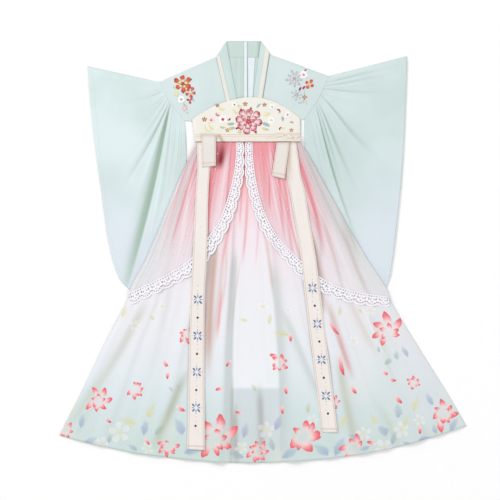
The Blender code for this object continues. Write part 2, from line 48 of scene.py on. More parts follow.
SENSOR = 36.0

eye = bpy.data.cameras.new("camera")
eye.sensor_width = SENSOR
eye.lens = SENSOR / 2 / (PHOTO_WIDTH * MM / 2 / CAMERA_HEIGHT)
camera = bpy.data.objects.new("camera", eye)
camera.location = (PHOTO_CENTRE_X * MM, (LENGTH / 2 - PHOTO_CENTRE_DOWN) * MM, CAMERA_HEIGHT)
bpy.context.scene.collection.objects.link(camera)
bpy.context.scene.camera = camera
bpy.context.scene.view_settings.view_transform = "Standard"


# Table and light. A pale matt table top under a large soft lamp from the upper left, with a weaker
# one opposite and an even white room.
def smooth(t):
    t = np.clip(t, 0.0, 1.0)
    return t * t * (3.0 - 2.0 * t)


def mix(a, b, t):
    return a + (b - a) * t


def seen(red, green, blue):
    """Linear colour of a cloth that looks so on a screen, from 0 to 255."""
    c = np.asarray((red, green, blue), float) / 255.0
    return np.where(c <= 0.04045, c / 12.92, ((c + 0.055) / 1.055) ** 2.4)


class Wire:
    """A node's output, on which sums and products add Math nodes."""

    def __init__(self, finish, socket):
        self.finish = finish
        self.socket = socket

    def sum_with(self, operation, first, second):
        return self.finish.node("ShaderNodeMath", {"operation": operation}, first, second)

    def __add__(self, other):
        return self.sum_with("ADD", self, other)

    def __radd__(self, other):
        return self.sum_with("ADD", other, self)

    def __sub__(self, other):
        return self.sum_with("SUBTRACT", self, other)

    def __rsub__(self, other):
        return self.sum_with("SUBTRACT", other, self)

    def __mul__(self, other):
        return self.sum_with("MULTIPLY", self, other)

    def __rmul__(self, other):
        return self.sum_with("MULTIPLY", other, self)

    def __truediv__(self, other):
        return self.sum_with("DIVIDE", self, other)

    def __pow__(self, other):
        return self.sum_with("POWER", self, other)

    def most(self, other):
        return self.sum_with("MAXIMUM", self, other)

    def take(self, operation, *others):
        return self.finish.node("ShaderNodeMath", {"operation": operation}, self, *others)

    def other(self, name):
        """Another output of the same node."""
        return Wire(self.finish, self.socket.node.outputs[name])

    def rise(self, low, high):
        """0 below low and 1 above high, with a soft run between them."""
        settings = {"interpolation_type": "SMOOTHSTEP"}
        return self.finish.node("ShaderNodeMapRange", settings, self, low, high, 0.0, 1.0)


class Finish:
    """A material with one Principled shader, whose steady values are set on the shader itself."""

    def __init__(self, name, roughness=0.8, sheen=0.15, specular=0.3):
        self.material = bpy.data.materials.new(name)
        self.material.use_nodes = True
        self.tree = self.material.node_tree
        self.shader = self.tree.nodes["Principled BSDF"]
        self.shader.inputs["Roughness"].default_value = roughness
        self.shader.inputs["Sheen Weight"].default_value = sheen
        self.shader.inputs["Sheen Roughness"].default_value = 0.5
        self.shader.inputs["Specular IOR Level"].default_value = specular

    def node(self, kind, settings=None, *values, output=0, **named):
        """Adds a node, sets it up, then fills its inputs in order, and by name."""
        made = self.tree.nodes.new(kind)
        for key, value in (settings or {}).items():
            if key == "stops":
                ramp = made.color_ramp
                while len(ramp.elements) < len(value):
                    ramp.elements.new(0.5)
                for element, (place, colour) in zip(ramp.elements, value):
                    element.position = place
                    element.color = (*map(float, colour), 1.0)
            else:
                setattr(made, key, value)
        pairs = list(zip(made.inputs, values))
        pairs += [(made.inputs[key.replace("_", " ")], value) for key, value in named.items()]
        for socket, value in pairs:
            if isinstance(value, Wire):
                self.tree.links.new(value.socket, socket)
            elif value is not None:
                socket.default_value = value
        return Wire(self, made.outputs[output])

    def place(self):
        """Where a point lies on the table, in metres."""
        return self.node("ShaderNodeTexCoord", output="Object")

    def mark(self, name):
        """A number that the mesh holds at each of its points."""
        return self.node("ShaderNodeAttribute", {"attribute_name": name}, output="Fac")

    def tint(self, name):
        """A colour that the mesh holds at each of its points."""
        return self.node("ShaderNodeAttribute", {"attribute_name": name}, output="Color")

    def blend(self, share, first, second):
        """Mix of two colours."""
        made = self.tree.nodes.new("ShaderNodeMix")
        made.data_type = "RGBA"
        for socket, value in ((made.inputs[0], share), (made.inputs[6], first), (made.inputs[7], second)):
            if isinstance(value, Wire):
                self.tree.links.new(value.socket, socket)
            elif socket.type == "RGBA":
                socket.default_value = (*map(float, value), 1.0)
            else:
                socket.default_value = value
        return Wire(self, made.outputs[2])

    def noise(self, where, scale, detail=2.0, roughness=0.5):
        return self.node("ShaderNodeTexNoise", None, Vector=where, Scale=scale, Detail=detail,
                         Roughness=roughness)

    def stretch(self, where, x, y, z=1.0):
        """The same place on scales of its own along each axis."""
        return self.node("ShaderNodeVectorMath", {"operation": "MULTIPLY"}, where, (x, y, z))

    def join(self, x, y, z=0.0):
        return self.node("ShaderNodeCombineXYZ", None, x, y, z)

    def bump(self, height, strength, distance):
        return self.node("ShaderNodeBump", None, Height=height, Strength=strength, Distance=distance)

    def into(self, name, wire):
        self.tree.links.new(wire.socket, self.shader.inputs[name])
        return self


def weave_bump(finish, thread=0.9, strength=0.25):
    """Plain weave: raised threads both ways, thread millimetres apart."""
    where = finish.stretch(finish.place(), *([2.0 * math.pi / (thread * MM)] * 3))
    apart = finish.node("ShaderNodeSeparateXYZ", None, where)
    threads = apart.take("SINE") * apart.other("Y").take("SINE")
    return finish.into("Normal", finish.bump(threads, strength, 0.1 * MM))


TABLE_SIZE = 12.0
TABLE_GREY = (0.93, 0.93, 0.93)
TABLE_PALE = (0.95, 0.95, 0.95)
tabletop = bpy.data.meshes.new("table")
half = TABLE_SIZE / 2
tabletop.from_pydata([(-half, -half, 0), (half, -half, 0), (half, half, 0), (-half, half, 0)], [],
                     [(0, 1, 2, 3)])
table = bpy.data.objects.new("table", tabletop)
table.location.z = -0.0002
bpy.context.scene.collection.objects.link(table)
paper = Finish("table_paper", roughness=0.9, sheen=0.0)
grain = paper.noise(paper.place(), 40.0)
paper.into("Base Color", paper.blend(grain, TABLE_GREY, TABLE_PALE))
tabletop.materials.append(paper.material)


def lamp(name, place, size, power):
    light = bpy.data.lights.new(name, "AREA")
    light.size = size
    light.energy = power
    made = bpy.data.objects.new(name, light)
    made.location = place
    x, y, z = place
    made.rotation_euler = (math.atan2(math.hypot(x, y), z), 0.0, math.atan2(x, -y))
    bpy.context.scene.collection.objects.link(made)


lamp("key_lamp", (-4.0, 3.6, 3.8), 2.6, 200.0)
lamp("fill_lamp", (4.2, -2.6, 5.0), 4.0, 110.0)
ROOM_LIGHT = 0.68
room = bpy.data.worlds.new("room")
room.use_nodes = True
room.node_tree.nodes["Background"].inputs["Color"].default_value = (1.0, 1.0, 1.0, 1.0)
room.node_tree.nodes["Background"].inputs["Strength"].default_value = ROOM_LIGHT
bpy.context.scene.world = room


# Blouse back. One sheer mint piece from shoulder to shoulder and down to the chest band, cut from
# chiffon, lying on the table under the fronts and seen only inside the neck opening.
class Rows:
    """A table with named columns. The first is the key along which the others are read, on a
    smooth curve through the rows or on straight runs between them."""

    def __init__(self, names, *rows):
        self.names = names.split()
        self.values = np.array(rows, float).T

    def read(self, name, at):
        keys = self.values[0]
        values = self.values[self.names.index(name)]
        wide = np.concatenate(([keys[0]], keys, [keys[-1]]))
        tall = np.concatenate(([values[0]], values, [values[-1]]))
        slope = (tall[2:] - tall[:-2]) / (wide[2:] - wide[:-2])
        at = np.asarray(at, float)
        i = np.clip(np.searchsorted(keys, at, side="right") - 1, 0, len(keys) - 2)
        span = keys[i + 1] - keys[i]
        t = (at - keys[i]) / span
        t2, t3 = t * t, t * t * t
        curve = ((2 * t3 - 3 * t2 + 1) * values[i] + (t3 - 2 * t2 + t) * slope[i] * span
                 + (3 * t2 - 2 * t3) * values[i + 1] + (t3 - t2) * slope[i + 1] * span)
        return np.where((t < 0) | (t > 1), mix(values[i], values[i + 1], t), curve)

    def straight(self, name, at):
        return np.interp(at, self.values[0], self.values[self.names.index(name)])


class Bed:
    """Height of the topmost cloth laid so far, on a square grid over the table."""

    CELL = 3.0
    REACH = 620.0

    def __init__(self):
        count = int(2 * self.REACH / self.CELL)
        self.top = np.zeros((count, count))

    def spots(self, x, down):
        count = len(self.top)
        i = np.clip(((np.asarray(x) + self.REACH) / self.CELL).astype(int), 0, count - 1)
        j = np.clip(((np.asarray(down) + 40.0) / self.CELL).astype(int), 0, count - 1)
        return i, j

    def stamp(self, x, down, height):
        i, j = self.spots(x, down)
        laid = np.zeros_like(self.top)
        np.maximum.at(laid, (i.ravel(), j.ravel()), height.ravel())
        laid = self.spread(laid, 1)
        self.top = np.maximum(self.top, laid)

    def spread(self, heights, cells):
        """Each cell takes the highest value within that many cells of it."""
        best = heights.copy()
        for axis in (0, 1):
            source = best.copy()
            for k in range(1, cells + 1):
                best = np.maximum(best, np.maximum(np.roll(source, k, axis), np.roll(source, -k, axis)))
        return best

    def under(self, x, down, reach=6.0, ease=6.0):
        """Height at which a piece rests that bridges hollows narrower than reach."""
        held = self.spread(self.top, max(int(reach / self.CELL), 1))
        cells = max(int(ease / self.CELL), 1)
        for axis in (0, 1):
            held = sum(np.roll(held, k, axis) for k in range(-cells, cells + 1)) / (2 * cells + 1)
        i, j = self.spots(x, down)
        return held[i, j]


bed = Bed()
WALL = 0.45                # thickness of one layer of the thin cloths


def grid(columns, rows):
    """u over the columns and v over the rows, as two arrays."""
    return np.meshgrid(np.asarray(columns, float), np.asarray(rows, float))


def steps(count):
    return np.linspace(0.0, 1.0, count + 1)


def lay(name, x, down, height, finish, wall=WALL, hole=None, stamp=True, **marks):
    """A closed thin sheet over a grid of points of its lower face. The marks are numbers, or
    colours, that its points hold for its finish."""
    shape = np.broadcast(x, down, height).shape
    x, down, height = (np.broadcast_to(np.asarray(c, float), shape) for c in (x, down, height))
    count = x.size
    low = np.stack([x * MM, (LENGTH / 2 - down) * MM, height * MM], -1).reshape(-1, 3)
    thick = np.broadcast_to(np.asarray(wall, float), shape).reshape(-1, 1) * MM
    points = np.concatenate([low, low + thick * np.array([[0.0, 0.0, 1.0]])])
    rows, columns = shape
    number = np.arange(count).reshape(shape)
    a, b = number[:-1, :-1], number[:-1, 1:]
    c, d = number[1:, 1:], number[1:, :-1]
    kept = np.ones((rows - 1, columns - 1), bool)
    if hole is not None:
        kept = ~hole
    quads = [np.stack([a[kept], b[kept], c[kept], d[kept]], -1),
             np.stack([d[kept], c[kept], b[kept], a[kept]], -1) + count]
    beside = np.pad(kept, 1)
    for gone, p, q in ((~beside[:-2, 1:-1] & kept, a, b), (~beside[1:-1, 2:] & kept, b, c),
                       (~beside[2:, 1:-1] & kept, c, d), (~beside[1:-1, :-2] & kept, d, a)):
        quads.append(np.stack([q[gone], p[gone], p[gone] + count, q[gone] + count], -1))
    quads = np.concatenate(quads)
    along = low.reshape(rows, columns, 3)
    i, j = rows // 2, columns // 2
    right = along[i, j] - along[i, j - 1]
    below = along[i, j] - along[i - 1, j]
    if right[0] * below[1] - right[1] * below[0] > 0:
        quads = quads[:, ::-1]
    used = np.unique(quads)
    renumber = np.zeros(2 * count, int)
    renumber[used] = np.arange(len(used))
    mesh = bpy.data.meshes.new(name)
    mesh.vertices.add(len(used))
    mesh.vertices.foreach_set("co", points[used].ravel())
    mesh.loops.add(quads.size)
    mesh.loops.foreach_set("vertex_index", renumber[quads].ravel())
    mesh.polygons.add(len(quads))
    mesh.polygons.foreach_set("loop_start", np.arange(0, quads.size, 4))
    mesh.polygons.foreach_set("use_smooth", np.ones(len(quads), bool))
    for mark, value in marks.items():
        value = np.asarray(value, float)
        if value.ndim == 3 and mark == "ground":
            both = np.concatenate([value.reshape(-1, 3)] * 2)[used]
            both = np.concatenate([both, np.ones((len(both), 1))], 1)
            mesh.attributes.new(mark, "FLOAT_COLOR", "POINT").data.foreach_set("color", both.ravel())
        elif value.ndim == 3:
            both = np.concatenate([value.reshape(-1, 3)] * 2)[used]
            mesh.attributes.new(mark, "FLOAT_VECTOR", "POINT").data.foreach_set("vector", both.ravel())
        else:
            both = np.concatenate([np.broadcast_to(value, shape).ravel()] * 2)[used]
            mesh.attributes.new(mark, "FLOAT", "POINT").data.foreach_set("value", both)
    mesh.update()
    mesh.validate()
    mesh.materials.append(finish.material)
    made = bpy.data.objects.new(name, mesh)
    bpy.context.scene.collection.objects.link(made)
    if stamp:
        bed.stamp(x, down, height + wall)
    return made


def hollow(height, reach):
    """How far each point lies below the level round it, from -1 to 1: deep troughs are near 1."""
    level = height.copy()
    for axis in (0, 1):
        cells = max(int(reach[axis]), 1)
        pad = [(0, 0), (0, 0)]
        pad[axis] = (cells, cells)
        wide = np.pad(level, pad, mode="edge")
        size = level.shape[axis]
        level = sum(np.take(wide, range(k, k + size), axis) for k in range(2 * cells + 1)) / (2 * cells + 1)
    return level - height


def settle(piece, node, flat=None, area=None):
    """Puts a piece on the dress's one body in place of its solid."""
    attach(piece, "root")
    if node:
        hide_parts(node)
    return piece


# Darker green of painted shade in troughs and hollows, which is also the look of doubled chiffon.
MINT_DOUBLED_SHADE = seen(158, 183, 166)
MINT_COOL = seen(221, 229, 238)


def mint_chiffon(name, dark, pale, alpha=1.0):
    """Sheer mint cloth between two tones, with a cool tint towards the lower corners of the sleeves. Its mark
    of doubling and shade turns it a darker green: partly the look of the cloth lying double, partly painted
    shade in its troughs, hollows and seams."""
    finish = Finish(name, roughness=0.85, sheen=0.1)
    drift = finish.noise(finish.place(), 6.0, 3.0)
    base = finish.blend(drift.rise(0.32, 0.68), dark, pale)
    base = finish.blend(finish.mark("cool"), base, MINT_COOL)
    # Painted shade: darker green where the mark of doubling and shade is high.
    base = finish.blend(finish.mark("deep").rise(0.0, 1.0), base, MINT_DOUBLED_SHADE)
    finish.into("Base Color", base)
    finish.shader.inputs["Alpha"].default_value = alpha
    return weave_bump(finish, 0.8, 0.2)


BLOUSE_ROWS = (0.0, 0.16, 0.32, 0.48, 0.62, 0.70, 0.85, 1.0)
LEFT_FRONT = Rows(
    "step side_x side_down neck_x neck_down",
    (0.00, -268, 107, -121, 42), (0.16, -252, 143, -113, 75), (0.32, -239, 164, -108, 96),
    (0.48, -221, 187, -103, 120), (0.62, -204, 207, -99, 138), (0.70, -181, 209, -94, 156),
    (0.85, -179, 224, -89, 190), (1.00, -177, 242, -83, 242))
RIGHT_FRONT = Rows(
    "step side_x side_down neck_x neck_down",
    (0.00, 171, 92, 18, 35), (0.16, 154, 132, 12, 75), (0.32, 140, 157, 9, 96),
    (0.48, 122, 183, 5, 120), (0.62, 108, 203, 2, 138), (0.70, 98, 205, -2, 156),
    (0.85, 98, 224, -8, 190), (1.00, 98, 242, -18, 242))
BACK_TOP = Rows("x down", (-268, 107), (-195, 74), (-121, 42), (-95, 0), (-5, 0), (18, 35), (95, 63),
                (171, 92))

mint_plain = mint_chiffon("mint_chiffon_plain", seen(202, 217, 214), seen(208, 222, 220))
u, v = grid(steps(60), np.interp(steps(28), steps(7), BLOUSE_ROWS))
x = mix(LEFT_FRONT.straight("side_x", v), RIGHT_FRONT.straight("side_x", v), u)
side_level = mix(LEFT_FRONT.straight("side_down", v), RIGHT_FRONT.straight("side_down", v), u)
top = BACK_TOP.straight("down", mix(-268.0, 171.0, u))
down = mix(top, side_level, smooth(v / 0.32))
folds = np.sin(x / 3.1 + 1.2 * np.sin(x / 9.0) + down / 160.0)
# Painted shade: the back's colour is a little darker all over and darker still in its ripples' troughs.
blouse_back = lay("blouse_back", x, down, np.full_like(x, 0.2), mint_plain, 0.6 + 0.12 * folds,
                  deep=0.28 + 0.08 * folds, cool=0.0)
settle(blouse_back, "bodice_back", (0.44, 0.24), 0.076)

# Inside of the back. A folded neck band crosses the top, and below it a white zip tape and the
# pale flap behind it run down the middle of the back, stitched to the chiffon.
white_tape = Finish("white_tape", roughness=0.7)
tape_tone = white_tape.noise(white_tape.place(), 60.0)
white_tape.into("Base Color", white_tape.blend(tape_tone, seen(220, 231, 235), seen(229, 237, 241)))
weave_bump(white_tape, 1.1, 0.4)


def band(name, node, rows, wall, finish, level, across=8, along=60, slot="mint_chiffon", swell=0.0,
         flat=None, area=None, rests_on=(), held="laid", sew=None, **marks):
    """A narrow flat piece between the two edges of a table, a little fuller along its middle."""
    u, v = grid(steps(across), steps(along))
    x = mix(rows.read("left_x", v), rows.read("right_x", v), u)
    down = mix(rows.read("left_down", v), rows.read("right_down", v), u)
    full = wall + swell * np.sin(math.pi * u) ** 0.6
    made = lay(name, x, down, np.full_like(x, level), finish, full, **marks)
    if sew:
        sewn(f"{name}_stitches", [(x[:, k], down[:, k], (level + full)[:, k]) for k in (1, -2)], sew)
    return settle(made, node, flat, area)


EDGES = "step left_x left_down right_x right_down"
band("back_band_inside", "back_neck_band", Rows(EDGES, (0, -94, 1, -6, 1), (1, -87, 42, -11, 42)),
     0.4, mint_plain, 0.9, deep=0.28, cool=0.0, flat=(0.09, 0.042), rests_on=["blouse_back"])
band("zip_tape", "back_zip_tape", Rows(EDGES, (0, -49, 2, -41, 2), (1, -49, 158, -41, 158)),
     0.8, white_tape, 2.2, slot="zip_tape", flat=(0.008 * 1.3, 0.157), rests_on=["blouse_back"])
band("zip_flap", "back_placket", Rows(EDGES, (0, -39, 43, -20, 43), (1, -38, 158, -27, 158)),
     0.6, white_tape, 1.2, slot="zip_tape", flat=(0.019, 0.116), rests_on=["blouse_back"], area=0.0018)


# Sleeves. Each is one very wide flared piece of sheer chiffon, gathered into the armhole and
# folded flat, so that a front wall lies on a back wall. Its folds fan out from the shoulder.
UNDERARM = 0.62
SLEEVE_BOW = 36.0
LEFT_CUFF = Rows("round x down", (0, -456, 65), (0.16, -440, 236), (0.30, -420, 387), (0.43, -402, 517),
                 (0.53, -377, 608), (0.63, -351, 642), (0.78, -322, 658), (1, -290, 664))
RIGHT_CUFF = Rows("round x down", (0, 374, 40), (0.18, 371, 142), (0.30, 367, 236), (0.40, 362, 322),
                  (0.47, 354, 413), (0.55, 338, 556), (0.64, 322, 640), (0.78, 290, 660), (1, 232, 664))
# Folds: share round the edge at the armhole, halfway and at the cuff, half breadth, height (a trough below
# 0), how much steeper the far side is, the shares of the way where each starts, is full and ends, and tint:
# how much darker green is painted into it, as shade and as the look of the doubled cloth.
FOLD_NAMES = "arm middle cuff breadth height lean start full end tint"
LEFT_FOLDS = Rows(
    FOLD_NAMES,
    (0.165, 0.125, 0.120, 0.020, -0.9, 1.0, 0.00, 0.05, 0.62, 0.16),
    (0.100, 0.085, 0.080, 0.024, 1.0, 0.8, 0.00, 0.06, 0.40, 0.00),
    (0.225, 0.200, 0.190, 0.026, 1.2, 1.2, 0.00, 0.06, 0.34, 0.00),
    (0.280, 0.245, 0.240, 0.018, -0.8, 1.0, 0.00, 0.06, 0.30, 0.14),
    (0.330, 0.300, 0.280, 0.026, 1.6, 0.8, 0.00, 0.06, 0.62, 0.00),
    (0.442, 0.384, 0.385, 0.021, -2.0, 1.4, 0.00, 0.22, 0.86, 0.42),
    (0.405, 0.350, 0.330, 0.026, 1.6, 0.8, 0.00, 0.10, 0.80, 0.00),
    (0.474, 0.470, 0.490, 0.030, 2.3, 0.9, 0.00, 0.20, 0.98, 0.00),
    (0.505, 0.566, 0.612, 0.044, -4.0, 1.7, 0.00, 0.12, 1.02, 1.00),
    (0.560, 0.660, 0.705, 0.040, 3.0, 0.7, 0.02, 0.25, 1.10, 0.00),
    (0.660, 0.720, 0.750, 0.018, 0.9, 1.0, 0.00, 0.08, 0.35, 0.00),
    (0.740, 0.755, 0.760, 0.022, -0.9, 1.0, 0.02, 0.20, 0.55, 0.22),
    (0.830, 0.820, 0.830, 0.026, 1.0, 1.0, 0.00, 0.12, 0.70, 0.00),
    (0.905, 0.885, 0.880, 0.020, -0.6, 1.0, 0.02, 0.16, 0.60, 0.15))
RIGHT_FOLDS = Rows(
    FOLD_NAMES,
    (0.060, 0.030, 0.020, 0.016, 1.1, 1.0, 0.00, 0.08, 1.00, 0.00),
    (0.100, 0.055, 0.038, 0.013, -1.2, 1.2, 0.00, 0.12, 0.98, 0.32),
    (0.128, 0.076, 0.062, 0.014, 1.2, 1.0, 0.00, 0.08, 1.00, 0.00),
    (0.160, 0.098, 0.088, 0.012, -1.1, 1.3, 0.00, 0.12, 0.95, 0.30),
    (0.185, 0.130, 0.122, 0.018, 1.3, 0.8, 0.00, 0.10, 1.00, 0.00),
    (0.212, 0.186, 0.180, 0.016, -1.3, 1.4, 0.00, 0.14, 0.97, 0.34),
    (0.265, 0.245, 0.250, 0.028, 1.5, 0.8, 0.00, 0.12, 0.90, 0.00),
    (0.310, 0.320, 0.320, 0.018, 0.9, 1.0, 0.00, 0.06, 0.30, 0.00),
    (0.358, 0.432, 0.408, 0.019, -2.0, 1.5, 0.00, 0.18, 0.93, 0.42),
    (0.330, 0.388, 0.372, 0.026, 1.8, 0.8, 0.00, 0.16, 0.98, 0.00),
    (0.425, 0.480, 0.470, 0.022, 1.2, 1.0, 0.00, 0.08, 0.50, 0.00),
    (0.495, 0.548, 0.552, 0.017, -2.0, 1.6, 0.00, 0.16, 0.66, 0.52),
    (0.470, 0.515, 0.520, 0.022, 1.6, 0.8, 0.00, 0.12, 0.76, 0.00),
    (0.535, 0.610, 0.620, 0.014, -1.4, 1.4, 0.00, 0.14, 0.46, 0.45),
    (0.578, 0.682, 0.692, 0.019, -2.6, 1.8, 0.00, 0.24, 0.84, 0.80),
    (0.560, 0.640, 0.652, 0.024, 1.9, 0.8, 0.00, 0.12, 0.95, 0.00),
    (0.680, 0.750, 0.760, 0.024, 1.5, 0.8, 0.00, 0.10, 0.80, 0.00),
    (0.790, 0.800, 0.800, 0.022, -0.9, 1.0, 0.00, 0.20, 0.70, 0.22),
    (0.880, 0.870, 0.870, 0.028, 1.0, 1.0, 0.00, 0.12, 0.80, 0.00))


def fold_sums(folds, u, v):
    """Height of all the folds of a table, soft ridges and troughs that bend a little, and the darker green of
    painted shade and doubled cloth in them.
    """
    height, tint = np.zeros_like(u), np.zeros_like(u)
    for n, row in enumerate(folds.values.T):
        fold = dict(zip(folds.names, row))
        line = (fold["arm"] * (1 - v) * (1 - 2 * v) + 4 * fold["middle"] * v * (1 - v)
                + fold["cuff"] * v * (2 * v - 1) + 0.003 * np.sin(7.0 * v + 2.3 * n))
        t = (u - line) / (fold["breadth"] * mix(0.7, 1.0, smooth(v / 0.5)))
        t = np.where(t > 0, t * fold["lean"], t / fold["lean"])
        rise = mix(0.35, 1.0, smooth((v - fold["start"]) / (fold["full"] - fold["start"])))
        fall = 1.0 - smooth((v - fold["full"]) / (fold["end"] - fold["full"]))
        shape = np.exp(-2.2 * t * t) * rise * np.where(fold["height"] < -3.0, fall ** 0.3, fall)
        height += fold["height"] * shape
        # Painted shade: darker green that grows with each fold's tint.
        tint += fold["tint"] * shape ** 0.7
    return height, tint


SKIRT_SIDES = Rows(
    "down left right",
    (263, -172, 97), (300, -190, 120), (407, -236, 179), (565, -302, 270), (644, -344, 321),
    (677, -353, 332), (783, -409, 396), (921, -476, 483), (1025, -529, 543), (1096, -565, 585))


def sleeve_place(cuff, front, outward, u, v):
    arm_x = front.straight("side_x", UNDERARM * u) + outward * 0.12
    arm_down = front.straight("side_down", UNDERARM * u) + 0.4 * u
    x = mix(arm_x, cuff.read("x", u), v) - outward * SLEEVE_BOW * 4.0 * v * (1.0 - v) * u * u
    return x, mix(arm_down, cuff.read("down", u), v)


def gathers(u, v):
    """Fine unequal gathers that the armhole's stitching draws up, gone by a third of the way."""
    waves = np.sin(150.0 * u + 3.0 * np.sin(23.0 * u)) + 0.6 * np.sin(231.0 * u + 1.0)
    return 0.24 * waves * np.exp(-v / 0.09) * smooth(v / 0.01)


def patches(name, x, down, height, finish):
    """Many small separate sheets in one mesh, from arrays of count, rows and columns."""
    points = np.stack([x * MM, (LENGTH / 2 - down) * MM, height * MM], -1).reshape(-1, 3)
    number = np.arange(len(points)).reshape(x.shape)
    quads = np.stack([number[:, :-1, 1:], number[:, 1:, 1:], number[:, 1:, :-1], number[:, :-1, :-1]], -1)
    mesh = bpy.data.meshes.new(name)
    mesh.from_pydata(points.tolist(), [], quads.reshape(-1, 4).tolist())
    mesh.polygons.foreach_set("use_smooth", np.ones(len(mesh.polygons), bool))
    mesh.materials.append(finish.material)
    made = bpy.data.objects.new(name, mesh)
    bpy.context.scene.collection.objects.link(made)
    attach(made, "root")
    return mesh


STITCH = 2.6
STITCH_STEP = 4.2
STITCH_HALF = 0.3


def sewn(name, lines, finish):
    """Lockstitches in one mesh, spaced evenly along lines of x, down and height."""
    spines = []
    for line in lines:
        run = np.concatenate([[0.0], np.cumsum(np.hypot(np.diff(line[0]), np.diff(line[1])))])
        first = np.arange(STITCH_STEP, run[-1] - STITCH_STEP, STITCH_STEP)
        spines.append(np.array([[np.interp(first + part * STITCH, run, value) for part in steps(3)]
                                for value in line]))
    x, down, level = np.swapaxes(np.concatenate(spines, axis=2), 1, 2)[..., None]
    ahead_x, ahead_down = x[:, -1:] - x[:, :1], down[:, -1:] - down[:, :1]
    w = np.linspace(-1.0, 1.0, 3)
    full = np.array([0.3, 1.0, 1.0, 0.3])[:, None]
    reach = STITCH_HALF * full * w / np.hypot(ahead_x, ahead_down)
    patches(name, x - reach * ahead_down, down + reach * ahead_x,
            level + 0.02 + 0.2 * full * (1.0 - w * w), finish)


def sewing_thread(name, dark, pale):
    finish = Finish(name, roughness=0.5, sheen=0.3)
    finish.into("Base Color", finish.blend(finish.noise(finish.place(), 400.0), dark, pale))
    return finish


def line_at(measure, level, *values):
    """Down each column of a grid, its values where a measure that falls has come to a level."""
    return [np.array([np.interp(-level, -measure[:, k], value[:, k]) for k in range(measure.shape[1])])
            for value in values]


mint_thread = sewing_thread("mint_thread", seen(186, 206, 200), seen(204, 220, 216))
CUFF_HEM = 12.0            # breadth of the turned hem along each cuff
for side, cuff, front, folds, outward, cool_from, mint_sleeve in (
        ("left", LEFT_CUFF, LEFT_FRONT, LEFT_FOLDS, -1, 270.0,
         mint_chiffon("mint_chiffon_left", seen(208, 224, 223), seen(221, 235, 236), 0.95)),
        # The right sleeve's tones are painted a little darker than the left's, as shade on the side away from
        # the key lamp.
        ("right", RIGHT_CUFF, RIGHT_FRONT, RIGHT_FOLDS, 1, 240.0,
         mint_chiffon("mint_chiffon_right", seen(202, 219, 217), seen(213, 228, 228), 0.95))):
    u, v = grid(steps(60), steps(50))
    x, down = sleeve_place(cuff, front, outward, u, v)
    back = lay(f"sleeve_{side}_back", x, down, np.full_like(x, 0.2), mint_sleeve, 0.6,
               deep=0.15, cool=smooth((down - 420.0) / 220.0) * 0.6)
    settle(back, f"sleeve_back_{side}", (0.36, 0.60), 0.135)

    u, v = grid(steps(180), steps(130) ** 1.1)
    x, down = sleeve_place(cuff, front, outward, u, v)
    arm_x, arm_down = sleeve_place(cuff, front, outward, u, 0.0 * v)
    cuff_x, cuff_down = sleeve_place(cuff, front, outward, u, 1.0 + 0.0 * v)
    to_cuff = (1.0 - v) * np.hypot(cuff_x - arm_x, cuff_down - arm_down)
    edge = SKIRT_SIDES.read("left" if outward < 0 else "right", np.maximum(down, 263.0))
    free = mix(1.0, smooth((outward * (x - edge) - 8.0) / 30.0), smooth((down - 190.0) / 50.0))
    rim = smooth(u / 0.03) * smooth((1.0 - u) / 0.03)
    swell = 2.6 + 0.8 * np.sin(3.1 * u + 4.0 * v) + 0.3 * np.sin(11.0 * u - 5.0 * v + outward)
    folded, tint = fold_sums(folds, u, v)
    height = 1.2 + np.maximum(swell * smooth(v / 0.15) + folded + gathers(u, v), 0.0) * free * rim
    hem = smooth((CUFF_HEM - to_cuff) / 1.5)
    hem_line = np.exp(-((to_cuff - CUFF_HEM) / 1.6) ** 2) * smooth((1.0 - u) / 0.3)
    # Painted shade in the sleeve's colour: darker green in the hollows between folds and near the gathered
    # armhole, and a faint line at the turned cuff hem.
    lines = np.clip(hollow(height, (2, 5)) / 1.2, 0.0, 1.0)
    gathered = 0.10 * (1.0 - smooth(v / 0.45))
    tint = np.clip(gathered + tint + 0.10 * lines + 0.05 * hem_line, 0.0, 1.0)
    cool = smooth((down - cool_from) / 260.0) * smooth((v - 0.35) / 0.5) * 0.8 * (1.0 - tint)
    sleeve = lay(f"sleeve_{side}", x, down, height, mint_sleeve, WALL + 0.3 * hem, deep=tint, cool=cool)
    settle(sleeve, f"sleeve_front_{side}", (0.40, 0.60),
           0.155)
    line = line_at(to_cuff, CUFF_HEM, x, down, height + WALL + 0.3 * hem)
    sewn(f"cuff_stitches_{side}", [[value[2:145] for value in line]], mint_thread)


# Blouse fronts. Two sheer mint pieces over the back, sewn to it at the shoulders and sides, with
# their neck edges turned under the collar bands.
SEAM_LAP = 1.0              # how far each front laps over its sleeve's gathers
for side, front, outward in (("left", LEFT_FRONT, -1), ("right", RIGHT_FRONT, 1)):
    u, v = grid(steps(60), np.interp(steps(70), steps(7), BLOUSE_ROWS))
    x = mix(front.straight("side_x", v) + outward * SEAM_LAP, front.straight("neck_x", v), u)
    down = mix(front.straight("side_down", v), front.straight("neck_down", v), u)
    crown = 3.0 * np.sin(math.pi * np.clip(u / 0.85, 0, 1)) * np.sin(math.pi * np.clip(v / 0.72, 0, 1))
    ripple = 0.5 * np.sin(9.0 * u + 6.0 * v) * crown / 3.0
    height = 1.2 + np.maximum(crown + ripple, 0.0)
    # Painted shade darkens the fronts along their armhole and shoulder edges, at the seams.
    darker_at_seams = 0.03 + 0.10 * (1.0 - smooth(np.minimum(u / 0.05, v / 0.04)))
    made = lay(f"blouse_{side}", x, down, height, mint_plain, deep=darker_at_seams, cool=0.15)
    settle(made, f"front_{side}", (0.19, 0.20), 0.026)


# Collar. Two folded bands of the same chiffon stand beside the neck opening, parallel and never
# crossed, and a narrow cream strip is sewn along each of them over its seam.
cream = Finish("cream_band", roughness=0.62, sheen=0.25)
cream_drift = cream.noise(cream.place(), 35.0, 3.0)
cream_tone = cream.blend(cream_drift, seen(226, 224, 214), seen(233, 231, 222))
cream.into("Base Color", cream_tone)
weave_bump(cream, 0.9, 0.5)

